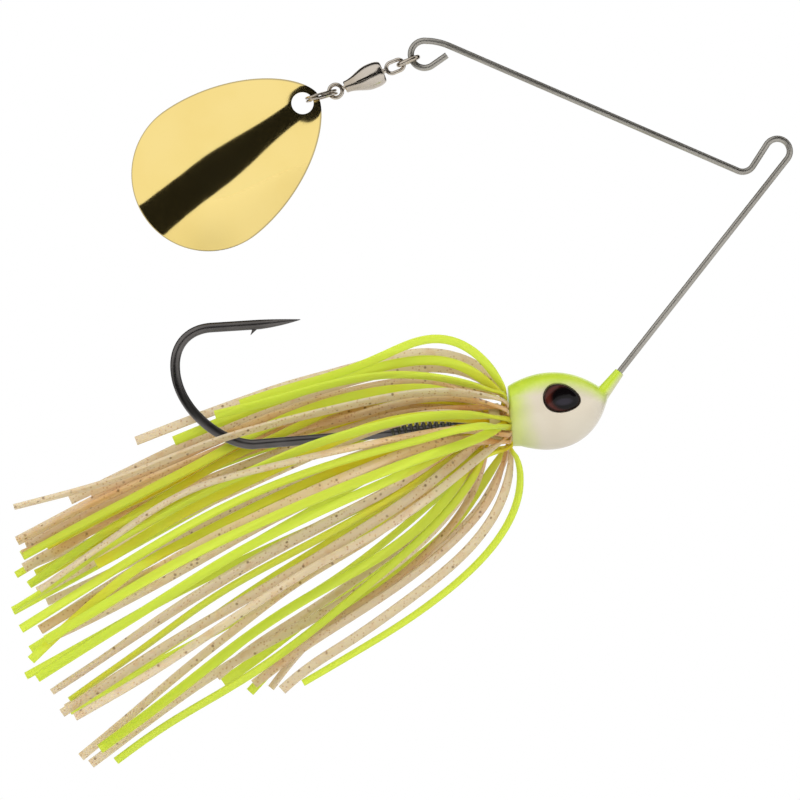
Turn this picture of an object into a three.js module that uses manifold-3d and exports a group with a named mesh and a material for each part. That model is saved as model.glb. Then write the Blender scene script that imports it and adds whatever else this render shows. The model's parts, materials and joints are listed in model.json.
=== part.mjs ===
// A spinnerbait: a bent wire frame, a weighted head cast on a single hook, a banded silicone skirt,
// and a cupped blade on a ball-bearing swivel.
// Millimetres. +X is forward, the way the line pulls, +Z is up, and the wire and hook lie in the XZ plane.
// The origin is the centre of the line tie, the tight bend that the fishing line is knotted to.
import * as THREE from "three";
import { mergeVertices } from "three/addons/utils/BufferGeometryUtils.js";
import Module from "manifold-3d";

const wasm = await Module();
wasm.setup();

// Driving dimensions

// Wire frame, as a wire bender's table. Angles are in degrees, radii are of the wire's middle line.
const WIRE_DIAMETER = 0.9;
const TAIL_LENGTH = 2.5;
const TAIL_ANGLE = 35; // the tail's rise towards its tip
const LOOP_RADIUS = 1.9;
const SWEEP_RADIUS = 8.8; // the easy bend between the loop and the upper arm
const UPPER_ARM_LENGTH = 44;
const UPPER_ARM_ANGLE = 23.4; // its fall from the loop to the heel
const HEEL_RADIUS = 1.7;
const TIE_LEG_LENGTH = 3.6;
const TIE_LEG_ANGLE = 57.3;
const TIE_RADIUS = 1.75;
const LOWER_ARM_LENGTH = 37.9; // from the line tie to the tip of the head's sleeve
const LOWER_ARM_ANGLE = 51.8; // its fall from the line tie to the head
const EYE_DEPTH = 8; // from the sleeve's tip, along the wire, to the middle of the hook's eye
const ANCHOR_DROP = 1.3; // wire that runs on straight below the hook's eye
const ANCHOR_RADIUS = 1.6;
const ANCHOR_LENGTH = 6.5; // the leg that lies along the shank inside the head

// Hook. Along is measured rearwards from the middle of its eye, up is square to the shank.
const HOOK_DIAMETER = 1.4;
const HOOK_TILT = 4.8; // the shank's fall from the head to the bend
const HOOK_EYE_RADIUS = 1.32;
const HOOK_EYE_WIRE = 0.8;
const SHANK_LENGTH = 46.2;
const GAP_HEIGHT = 16.8; // shank to spear, middle to middle
const BEND_BACK = 56.5; // rearmost point of the bend
const BEND_BACK_HEIGHT = 11.9;
const LOWER_BEND_HANDLE = 4;
const LOWER_BEND_PULL = 6.4;
const UPPER_BEND_PULL = 3.3;
const UPPER_BEND_HANDLE = 2.9;
const SPEAR_START = 51;
const SPEAR_LENGTH = 12.5;
const SPEAR_DROP = 0.25;
const POINT_TAPER = 6.2; // how far back from its tip the spear thins
const POINT_TAPER_POWER = 1.6;
const POINT_TIP_DIAMETER = 0.12;
const BARB_FROM_TIP = 7;
const BARB_LENGTH = 1.5;
const BARB_WIDTH = 0.5;
const BARB_ANGLE = 40;

// Head, seen from the side, about the middle of the hook's eye. Each edge is one cubic curve.
const HEAD_TOP = [[-10.75, 4.3], [-6.09, 7.18], [-0.95, 6.86], [3.4, 3.2]];
const HEAD_BOTTOM = [[-8.8, -4.15], [-2.7, -5.8], [2.2, -3.3], [3.4, 3.2]];
// The head's rear is drawn in to the neck through two rings: the place of each one's top, that of its bottom,
// both along and up from the shank, and its half width.
const HEAD_REAR_RINGS = [
  { top: [10.8, 1.5], bottom: [10.65, -1.5], half: 1.5 },
  { top: [10.55, 3.5], bottom: [10.3, -3.3], half: 2.9 },
];
const HEAD_WIDTH = 8.8;
const HEAD_REAR_WIDTH = 6.6;
const HEAD_WIDEST = 0.42; // share of the way from the rear to the nose
const NOSE_POWER = 2.3; // how the width closes from the widest place to the nose
const NOSE_ROUNDING = 0.55;
const SLEEVE_TIP_DIAMETER = 1.4;
const SLEEVE_BASE_DIAMETER = 2.3;
const SLEEVE_LENGTH = 4.2;
const NECK_START = 7.4; // along the shank
const NECK_END = 14.2;
const NECK_DIAMETER = 2.4;
const NECK_RIDGE_DIAMETER = 2.6;
const NECK_RIDGE_LENGTH = 0.5;
const CAST_CLEARANCE = 0.1; // between the casting and what it is cast round
const EYE_CHAMBER_DIAMETER = 3.64;
const EYE_CHAMBER_HEIGHT = 1.04;

// Eyes
const EYE_CENTRE = [-3.23, 2.55]; // about the middle of the hook's eye
const EYE_LENGTH = 5.05;
const EYE_HEIGHT = 3.8;
const EYE_TURN = -9;
const EYE_POINTING = 0.22; // how much the outline narrows towards its front
const EYE_SEAT = 3; // from the middle plane to the recess floor
const EYE_RIM = 0.95; // height of the eye's straight edge above its seat
const EYE_DOME = 0.65; // height of the dome above that edge
const EYE_DOME_SHARES = [0.35, 0.65, 0.88]; // rings of the dome, from its edge to its middle
const EYE_CLEARANCE = 0.12;

// Bait keeper: a wire wound round the shank behind the neck
const KEEPER_START = 17.2;
const KEEPER_TURNS = 11;
const KEEPER_PITCH = 0.9;
const KEEPER_WIRE = 0.44;
const KEEPER_CLEARANCE = 0.15;
const KEEPER_STEPS = 8; // steps and sides of the wound wire
const KEEPER_SIDES = 5;

// Skirt: tabs of silicone strands under a band
const TAB_COUNT = 10;
const TAB_GAP = 0.14;
const TAB_INNER_CLEARANCE = 0.12;
const TAB_THICKNESS = 0.8;
const TAB_START = 11.6;
const TAB_LENGTH = 1.9;
const BAND_CLEARANCE = 0.1;
const BAND_THICKNESS = 0.6;
const BAND_WIDTH = 1.5;
const STRAND_WIDTH = 1.2;
const STRAND_THICKNESS = 0.55;
const STRAND_ROOT_SHARE = 0.34; // the strand's size where the band squeezes it
const STRAND_ROOT_STRETCH = 6.5; // length over which it swells to full size
const STRAND_STEPS = 14;
const STRAND_EASE = 1.3; // over 1 packs a strand's steps towards its root

// Swivel, rings and blade. Along is measured from the wire that carries the part.
const CHAIN_ANGLE = 202.5; // the way the swivel lies, from +X towards +Z
const METAL_CLEARANCE = 0.1;
const SPLIT_RING_PLAY = 0.25; // between the split ring and the round end of the eye that it hangs in
const BLADE_PLAY = 0.3; // between the split ring and the edge of the blade's hole
const UPPER_RING_DIAMETER = 3.6;
const UPPER_RING_WIRE = 0.7;
const EYE_WIRE = 0.55;
const UPPER_EYE_INSIDE = 1;
const UPPER_EYE_REACH = 1.55; // from the ring's wire to the closed end of the eye
const BARREL_GAP = 0.25; // between the eye's closed end and the barrel
const BARREL_LENGTH = 5.8;
const BARREL_DIAMETER = 3.6;
const BARREL_TAIL_DIAMETER = 1.7;
const BARREL_SHOULDER_DIAMETER = 2.5;
const BARREL_WALL = 0.32;
const BARREL_SLOT = 0.2;
const BARREL_SLOT_LENGTH = 3.6;
const SPINDLE_DIAMETER = 0.7;
const SPINDLE_HEAD_DIAMETER = 2.3;
const SPINDLE_HEAD_THICKNESS = 0.4;
const BALL_COUNT = 6;
const BALL_DIAMETER = 0.68;
const BALL_CIRCLE = 1.74;
const WASHER_THICKNESS = 0.2;
const WASHER_DIAMETER = 2.5;
const RACE_CLEARANCE = 0.06;
const TAIL_STEM_DIAMETER = 0.6;
const TAIL_STOP_DIAMETER = 1.15;
const TAIL_STOP_THICKNESS = 0.4;
const TAIL_EYE_INSIDE = 1.3;
const TAIL_EYE_START = 0.2; // from the barrel's tail to the eye's wire
const SPLIT_RING_DIAMETER = 4.7;
const SPLIT_RING_RADIAL = 0.5;
const SPLIT_RING_STRIP = 0.36;
const SPLIT_RING_GAP = 0.08;
const SPLIT_RING_ANGLE = -7; // how it lies, against the swivel
const SPLIT_STEP_START = 320; // degrees round the strip where it steps from the first turn to the second
const SPLIT_STEP_END = 358;
const SPLIT_END = 668;
const BLADE_ANGLE = 216.9;
const BLADE_THICKNESS = 0.6;
const BLADE_WIDTH = 21.6;
const BLADE_TIP_LENGTH = 19; // from the widest place to the narrow tip
const BLADE_TIP_POWER = 1.8;
const BLADE_SIDE_POWER = 0.63;
const BLADE_HOLE_DIAMETER = 3.1;
const BLADE_HOLE_FROM_TIP = 2.5;
const BLADE_CUP = 3.7;
const BLADE_CUP_POWER = 2.3;
const BLADE_RINGS = [0.25, 0.48, 0.68, 0.85, 1]; // shares of the way from the middle to the rim

// Fineness of the meshes
const WIRE_SIDES = 10;
const BEND_STEP = 15; // degrees of turn for each ring of a bent wire
const RING_SEGMENTS = 24;
const RING_WIRE_SIDES = 8;
const SPLIT_RING_STEP = 11.2; // degrees
const LATHE_SEGMENTS = 20;
const BAR_SIDES = 16;
const BLADE_SIDES = 40;
const HEAD_STEPS = 12;
const HEAD_STEP_POWER = 1.25; // packs the head's rings together towards the nose
const HOOK_BEND_STEPS = 12;
const POINT_STEPS = 5;
const CUT_MARGIN = 1; // how far a cut runs on past the surface that it opens

// Materials

function finish(color, roughness, metalness) {
  return new THREE.MeshStandardMaterial({ color, roughness, metalness });
}
const STEEL = finish(0x8d8a84, 0.3, 1);
const BLACK_NICKEL = finish(0x24221f, 0.28, 1);
const HEAD_PAINT = finish(0xe4dfcf, 0.3, 0);
const EYE_PRINT = finish(0x1c0f0c, 0.12, 0);
const SILICONE_BAND = finish(0xcbb98d, 0.5, 0);
const CHARTREUSE = finish(0xb4d824, 0.45, 0);
const PEARL = finish(0xcfc09a, 0.45, 0);
const NICKEL = finish(0xa39f98, 0.25, 1);
const BALL_STEEL = finish(0xc8c8c8, 0.1, 1);
const GOLD = finish(0xe8c867, 0.12, 1);

// Small helpers

const radians = (degrees) => (degrees * Math.PI) / 180;

// A unit vector in the XZ plane, at an angle from +X towards +Z.
function heading(degrees) {
  return new THREE.Vector3(Math.cos(radians(degrees)), 0, Math.sin(radians(degrees)));
}

// A manifold solid from a three.js geometry.
function solidFrom(geometry) {
  const bare = geometry.clone();
  bare.deleteAttribute("normal");
  bare.deleteAttribute("uv");
  const merged = mergeVertices(bare, 1e-4);
  const vertProperties = new Float32Array(merged.attributes.position.array);
  const triVerts = new Uint32Array(merged.index.array);
  return new wasm.Manifold(new wasm.Mesh({ numProp: 3, vertProperties, triVerts }));
}

// A three.js geometry from a manifold solid.
function geometryFrom(solid) {
  const mesh = solid.getMesh();
  const geometry = new THREE.BufferGeometry();
  geometry.setAttribute("position", new THREE.BufferAttribute(mesh.vertProperties, 3));
  geometry.setIndex(new THREE.BufferAttribute(mesh.triVerts, 1));
  return geometry;
}

// A closed surface through rings of points. A first or last ring of one point closes to it.
// closed joins the last ring to the first one instead of closing the ends.
function loft(rings, closed = false) {
  const points = [];
  const starts = rings.map((ring) => {
    const start = points.length;
    points.push(...ring);
    return start;
  });
  const faces = [];
  const joinRings = (a, b) => {
    const count = Math.max(rings[a].length, rings[b].length);
    for (let k = 0; k < count; k += 1) {
      const next = (k + 1) % count;
      const at = (ring, index) => starts[ring] + (rings[ring].length === 1 ? 0 : index);
      if (rings[a].length > 1) faces.push(at(a, k), at(a, next), at(b, k));
      if (rings[b].length > 1) faces.push(at(a, next), at(b, next), at(b, k));
    }
  };
  const capRing = (ring, flip) => {
    for (let k = 1; k < rings[ring].length - 1; k += 1) {
      const corner = [starts[ring], starts[ring] + k + 1, starts[ring] + k];
      faces.push(...(flip ? corner.reverse() : corner));
    }
  };
  for (let ring = 0; ring < rings.length - 1; ring += 1) joinRings(ring, ring + 1);
  if (closed) {
    joinRings(rings.length - 1, 0);
  } else {
    capRing(0, false);
    capRing(rings.length - 1, true);
  }
  const geometry = new THREE.BufferGeometry().setFromPoints(points);
  geometry.setIndex(faces);
  return geometry;
}

// The outline of a section: offsets across and over a middle line.
function roundSection(radius, sides) {
  return Array.from({ length: sides }, (_, k) => {
    const turn = (2 * Math.PI * k) / sides;
    return [radius * Math.cos(turn), radius * Math.sin(turn)];
  });
}

// One ring of a tube in the XZ plane: the section stands square to the station's heading.
function ringAt(station, section) {
  const across = heading(station.angle + 90);
  const over = new THREE.Vector3(0, -1, 0);
  return section.map(([a, b]) =>
    station.point.clone().addScaledVector(across, a).addScaledVector(over, b));
}

// Stations along a bender's table of straight lengths and turns, from a point and a heading.
function bentPath(start, angle, table) {
  const stations = [{ point: start.clone(), angle }];
  const centres = {};
  for (const step of table) {
    const last = stations[stations.length - 1];
    if (step.straight) {
      const point = last.point.clone().addScaledVector(heading(last.angle), step.straight);
      stations.push({ point, angle: last.angle });
      continue;
    }
    const side = Math.sign(step.turn);
    const centre = last.point.clone().addScaledVector(heading(last.angle + 90 * side), step.radius);
    const count = Math.ceil(Math.abs(step.turn) / BEND_STEP);
    for (let k = 1; k <= count; k += 1) {
      const now = last.angle + (step.turn * k) / count;
      const point = centre.clone().addScaledVector(heading(now + 90 * side), -step.radius);
      stations.push({ point, angle: now });
    }
    if (step.name) centres[step.name] = centre;
  }
  return { stations, centres };
}

function tube(stations, radius, sides = WIRE_SIDES, closed = false) {
  return loft(stations.map((s) => ringAt(s, roundSection(radius, sides))), closed);
}

// Turns a lathe's upright axis to +X.
function latheAlongX(profile, segments = LATHE_SEGMENTS) {
  const points = profile.map(([along, radius]) => new THREE.Vector2(radius, along));
  return new THREE.LatheGeometry(points, segments).rotateZ(-Math.PI / 2);
}

// A turned solid from [along, radius] pairs, from its low end to its high end.
function turned(profile, segments) {
  const first = profile[0];
  const last = profile[profile.length - 1];
  const ends = [[first[0], 0], ...profile, [last[0], 0]];
  return solidFrom(latheAlongX(ends, segments));
}

function meshOf(name, geometry, material) {
  const mesh = new THREE.Mesh(geometry, material);
  mesh.name = name;
  return mesh;
}

// Wire frame

const wireRadius = WIRE_DIAMETER / 2;
const shankAngle = 180 + HOOK_TILT;
const lowerArmHeading = -(180 - LOWER_ARM_ANGLE);
const wireTable = [
  { straight: TAIL_LENGTH },
  { turn: -(180 + TAIL_ANGLE), radius: LOOP_RADIUS, name: "loop" },
  { turn: -UPPER_ARM_ANGLE, radius: SWEEP_RADIUS },
  { straight: UPPER_ARM_LENGTH },
  { turn: UPPER_ARM_ANGLE + TIE_LEG_ANGLE, radius: HEEL_RADIUS },
  { straight: TIE_LEG_LENGTH },
  { turn: lowerArmHeading - TIE_LEG_ANGLE, radius: TIE_RADIUS, name: "tie" },
  { straight: LOWER_ARM_LENGTH + EYE_DEPTH + ANCHOR_DROP },
  { turn: shankAngle - 360 - lowerArmHeading, radius: ANCHOR_RADIUS },
  { straight: ANCHOR_LENGTH },
];
const wirePath = bentPath(new THREE.Vector3(), 180 + TAIL_ANGLE, wireTable);
const tieCentre = wirePath.centres.tie.clone();
wirePath.stations.forEach((station) => station.point.sub(tieCentre));
const loopCentre = wirePath.centres.loop.clone().sub(tieCentre);

function wireFrame() {
  return meshOf("wire_frame", tube(wirePath.stations, wireRadius), STEEL);
}

// Where the lower arm leaves the line tie's bend, and the places that it fixes
const armDirection = heading(lowerArmHeading);
const armStart = heading(lowerArmHeading + 90).multiplyScalar(TIE_RADIUS);
const sleeveTip = armStart.clone().addScaledVector(armDirection, LOWER_ARM_LENGTH);
const hookEye = sleeveTip.clone().addScaledVector(armDirection, EYE_DEPTH);
const rearward = heading(shankAngle);
const upward = heading(shankAngle - 90);

// A point from its distance along the shank and its height square to it.
function onHook(along, up) {
  return hookEye.clone().addScaledVector(rearward, along).addScaledVector(upward, up);
}

// Hook

const hookRadius = HOOK_DIAMETER / 2;
const worldUp = new THREE.Vector3(0, 0, 1);

function hookStations() {
  const bendBack = onHook(BEND_BACK, BEND_BACK_HEIGHT);
  const shankEnd = onHook(SHANK_LENGTH, 0);
  const spearStart = onHook(SPEAR_START, GAP_HEIGHT);
  const spearTip = onHook(SPEAR_START - SPEAR_LENGTH, GAP_HEIGHT - SPEAR_DROP);
  const spearDirection = spearTip.clone().sub(spearStart).normalize();
  const lowerBend = new THREE.CubicBezierCurve3(
    shankEnd,
    onHook(SHANK_LENGTH + LOWER_BEND_HANDLE, 0),
    bendBack.clone().addScaledVector(worldUp, -LOWER_BEND_PULL),
    bendBack,
  );
  const upperBend = new THREE.CubicBezierCurve3(
    bendBack,
    bendBack.clone().addScaledVector(worldUp, UPPER_BEND_PULL),
    spearStart.clone().addScaledVector(spearDirection, -UPPER_BEND_HANDLE),
    spearStart,
  );
  const stations = [
    { point: onHook(HOOK_EYE_RADIUS, 0), radius: HOOK_EYE_WIRE / 2 },
    { point: onHook(HOOK_EYE_RADIUS + HOOK_DIAMETER, 0), radius: hookRadius },
  ];
  for (let k = 0; k <= HOOK_BEND_STEPS; k += 1) {
    stations.push({ point: lowerBend.getPointAt(k / HOOK_BEND_STEPS), radius: hookRadius });
  }
  for (let k = 1; k <= HOOK_BEND_STEPS; k += 1) {
    stations.push({ point: upperBend.getPointAt(k / HOOK_BEND_STEPS), radius: hookRadius });
  }
  const taperStart = spearTip.clone().addScaledVector(spearDirection, -POINT_TAPER);
  for (let k = 0; k <= POINT_STEPS; k += 1) {
    const share = k / POINT_STEPS;
    const thin = Math.pow(share, POINT_TAPER_POWER);
    const radius = hookRadius + (POINT_TIP_DIAMETER / 2 - hookRadius) * thin;
    const lift = hookRadius - radius;
    const point = taperStart.clone().addScaledVector(spearDirection, share * POINT_TAPER);
    stations.push({ point: point.addScaledVector(upward, lift / 2), radius });
  }
  stations.forEach((station, k) => {
    const before = stations[Math.max(k - 1, 0)].point;
    const after = stations[Math.min(k + 1, stations.length - 1)].point;
    const way = after.clone().sub(before);
    station.angle = (Math.atan2(way.z, way.x) * 180) / Math.PI;
  });
  return { stations, spearTip, spearDirection };
}

// A thin sliver raised from the inner side of the spear, pointing back towards the bend.
function barb(spearTip, spearDirection) {
  const root = spearTip.clone().addScaledVector(spearDirection, -BARB_FROM_TIP + BARB_LENGTH / 2);
  root.addScaledVector(upward, -hookRadius / 2);
  const away = (Math.atan2(spearDirection.z, spearDirection.x) * 180) / Math.PI + 180;
  const reach = BARB_LENGTH + hookRadius / 2;
  const tip = root.clone().addScaledVector(heading(away + BARB_ANGLE), reach);
  const section = (size) => [[-size, -size], [size, -size], [size, size], [-size, size]];
  const rings = [
    ringAt({ point: root, angle: away + BARB_ANGLE }, section(BARB_WIDTH / 2)),
    ringAt({ point: tip, angle: away + BARB_ANGLE }, section(POINT_TIP_DIAMETER / 2)),
  ];
  return solidFrom(loft(rings));
}

function hookEyeRing() {
  const ring = new THREE.TorusGeometry(
    HOOK_EYE_RADIUS, HOOK_EYE_WIRE / 2, RING_WIRE_SIDES, RING_SEGMENTS);
  ring.rotateY(radians(-HOOK_TILT));
  return ring.translate(hookEye.x, hookEye.y, hookEye.z);
}

function hook() {
  const { stations, spearTip, spearDirection } = hookStations();
  const rings = stations.map((s) => ringAt(s, roundSection(s.radius, WIRE_SIDES)));
  const body = solidFrom(loft(rings))
    .add(solidFrom(hookEyeRing()))
    .add(barb(spearTip, spearDirection));
  return meshOf("hook", geometryFrom(body), BLACK_NICKEL);
}

// Head

function edgeCurve(points) {
  const places = points.map(([x, z]) => hookEye.clone().add(new THREE.Vector3(x, 0, z)));
  return new THREE.CubicBezierCurve3(...places);
}

// Half the head's width at a share of the way from its rear to its nose.
function headHalfWidth(share) {
  const half = HEAD_WIDTH / 2;
  const rearHalf = HEAD_REAR_WIDTH / 2;
  if (share < HEAD_WIDEST) {
    const back = (HEAD_WIDEST - share) / HEAD_WIDEST;
    return half - (half - rearHalf) * back * back;
  }
  const ahead = (share - HEAD_WIDEST) / (1 - HEAD_WIDEST);
  return half * Math.pow(1 - Math.pow(ahead, NOSE_POWER), NOSE_ROUNDING);
}

function headShell() {
  const top = edgeCurve(HEAD_TOP);
  const bottom = edgeCurve(HEAD_BOTTOM);
  const ring = (high, low, width) => {
    const middle = high.clone().add(low).multiplyScalar(0.5);
    const half = high.clone().sub(low).multiplyScalar(0.5);
    return roundSection(1, LATHE_SEGMENTS).map(([a, b]) =>
      middle.clone().addScaledVector(half, a).add(new THREE.Vector3(0, -b * width, 0)));
  };
  const rings = HEAD_REAR_RINGS.map(({ top: high, bottom: low, half }) =>
    ring(onHook(...high), onHook(...low), half));
  for (let k = 0; k < HEAD_STEPS; k += 1) {
    const share = 1 - Math.pow(1 - k / HEAD_STEPS, HEAD_STEP_POWER);
    rings.push(ring(top.getPoint(share), bottom.getPoint(share), headHalfWidth(share)));
  }
  rings.push([top.getPoint(1)]);
  return solidFrom(loft(rings));
}

// A straight round bar between two points of the XZ plane, with a radius at each end.
function bar(from, to, fromRadius, toRadius) {
  const way = to.clone().sub(from);
  const angle = (Math.atan2(way.z, way.x) * 180) / Math.PI;
  return solidFrom(loft([
    ringAt({ point: from, angle }, roundSection(fromRadius, BAR_SIDES)),
    ringAt({ point: to, angle }, roundSection(toRadius, BAR_SIDES)),
  ]));
}

// The outline of a fish eye about its middle, at a scale, at a distance from the middle plane.
function eyeRing(scale, y, grow = 0) {
  const middle = hookEye.clone().add(new THREE.Vector3(EYE_CENTRE[0], 0, EYE_CENTRE[1]));
  return Array.from({ length: LATHE_SEGMENTS }, (_, k) => {
    const turn = (2 * Math.PI * k) / LATHE_SEGMENTS;
    const narrow = 1 - EYE_POINTING * Math.cos(turn);
    const along = (scale * EYE_LENGTH / 2 + grow) * Math.cos(turn);
    const high = (scale * EYE_HEIGHT / 2 + grow) * Math.sin(turn) * narrow;
    const offset = heading(EYE_TURN).multiplyScalar(along);
    offset.addScaledVector(heading(EYE_TURN + 90), high);
    return middle.clone().add(offset).setY(y);
  });
}

// side is -1 for the eye towards -Y and 1 for the other one.
function eyePrism(side, near, far, grow) {
  const rings = [eyeRing(1, side * near, grow), eyeRing(1, side * far, grow)];
  return solidFrom(loft(side > 0 ? rings.reverse() : rings));
}

function head() {
  const sleeveBase = sleeveTip.clone().addScaledVector(armDirection, SLEEVE_LENGTH);
  const sleeve = bar(sleeveTip, sleeveBase, SLEEVE_TIP_DIAMETER / 2, SLEEVE_BASE_DIAMETER / 2);
  const neck = bar(onHook(NECK_START, 0), onHook(NECK_END, 0), NECK_DIAMETER / 2, NECK_DIAMETER / 2);
  const ridgeStart = onHook(NECK_END - NECK_RIDGE_LENGTH, 0);
  const ridge = bar(ridgeStart, onHook(NECK_END, 0), NECK_RIDGE_DIAMETER / 2, NECK_DIAMETER / 2);
  const wireEnd = wirePath.stations[wirePath.stations.length - 1];
  const pastEnd = wireEnd.point.clone().addScaledVector(heading(wireEnd.angle), CAST_CLEARANCE);
  const wireChannel = solidFrom(tube(
    [...wirePath.stations, { point: pastEnd, angle: wireEnd.angle }], wireRadius + CAST_CLEARANCE));
  const chamber = new THREE.CylinderGeometry(
    EYE_CHAMBER_DIAMETER / 2, EYE_CHAMBER_DIAMETER / 2, EYE_CHAMBER_HEIGHT, LATHE_SEGMENTS);
  chamber.rotateX(Math.PI / 2).rotateY(radians(-HOOK_TILT));
  chamber.translate(hookEye.x, hookEye.y, hookEye.z);
  const shankChannel = bar(
    hookEye, onHook(NECK_END + CUT_MARGIN, 0), hookRadius + CAST_CLEARANCE, hookRadius + CAST_CLEARANCE);
  const recessTop = HEAD_WIDTH / 2 + CUT_MARGIN;
  let body = headShell().add(sleeve).add(neck).add(ridge);
  body = body.subtract(wireChannel).subtract(solidFrom(chamber)).subtract(shankChannel);
  for (const side of [-1, 1]) {
    body = body.subtract(eyePrism(side, EYE_SEAT, recessTop, EYE_CLEARANCE));
  }
  return meshOf("head", geometryFrom(body), HEAD_PAINT);
}

function eye(name, side) {
  const base = EYE_SEAT + EYE_CLEARANCE;
  const rim = base + EYE_RIM;
  const rings = [eyeRing(1, side * base), eyeRing(1, side * rim)];
  for (const share of EYE_DOME_SHARES) {
    const lift = EYE_DOME * (1 - Math.pow(1 - share, 2));
    rings.push(eyeRing(1 - share, side * (rim + lift)));
  }
  const geometry = loft(rings);
  return meshOf(name, side > 0 ? facingOut(geometry) : geometry, EYE_PRINT);
}

// The same surface with each face turned round.
function facingOut(geometry) {
  const index = geometry.index.array;
  for (let k = 0; k < index.length; k += 3) [index[k], index[k + 1]] = [index[k + 1], index[k]];
  return geometry;
}

// Bait keeper

function keeperCoil() {
  const radius = hookRadius + KEEPER_CLEARANCE + KEEPER_WIRE / 2;
  const side = new THREE.Vector3(0, 1, 0);
  const count = KEEPER_TURNS * KEEPER_STEPS;
  const points = Array.from({ length: count + 1 }, (_, k) => {
    const turn = (2 * Math.PI * k) / KEEPER_STEPS;
    const along = KEEPER_START + (KEEPER_PITCH * k) / KEEPER_STEPS;
    return onHook(along, radius * Math.cos(turn)).addScaledVector(side, radius * Math.sin(turn));
  });
  const rings = points.map((point, k) => {
    const turn = (2 * Math.PI * k) / KEEPER_STEPS;
    const out = upward.clone().multiplyScalar(Math.cos(turn)).addScaledVector(side, Math.sin(turn));
    return roundSection(KEEPER_WIRE / 2, KEEPER_SIDES).map(([a, b]) =>
      point.clone().addScaledVector(rearward, a).addScaledVector(out, b));
  });
  console.log("bait keeper: least gap between turns " + leastGap(points).toFixed(2) + " mm");
  return meshOf("bait_keeper", loft(rings), BLACK_NICKEL);
}

// The least space between points of the coil that are most of a turn or more apart.
function leastGap(points) {
  let least = Infinity;
  for (let a = 0; a < points.length; a += 1) {
    for (let b = a + KEEPER_STEPS - 1; b < points.length; b += 1) {
      least = Math.min(least, points[a].distanceTo(points[b]) - KEEPER_WIRE);
    }
  }
  return least;
}

// Skirt

const tabInner = NECK_RIDGE_DIAMETER / 2 + TAB_INNER_CLEARANCE;
const tabOuter = tabInner + TAB_THICKNESS;
const bandInner = tabOuter + BAND_CLEARANCE;
const bandOuter = bandInner + BAND_THICKNESS;
const nearSide = new THREE.Vector3(0, -1, 0);

// Where the six strands of a tab leave it. The rear ones leave the band rearwards, and the front ones leave it
// forwards and fold back over it. turn is in degrees round the neck from the tab's middle, and root is the
// share of the tab's thickness at which the strand starts.
const SLOTS = [
  { front: false, turn: 0, root: 0.25 },
  { front: false, turn: -9, root: 0.72 },
  { front: false, turn: 9, root: 0.72 },
  { front: true, turn: 0, root: 0.72 },
  { front: true, turn: -9, root: 0.25 },
  { front: true, turn: 9, root: 0.25 },
];

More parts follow.
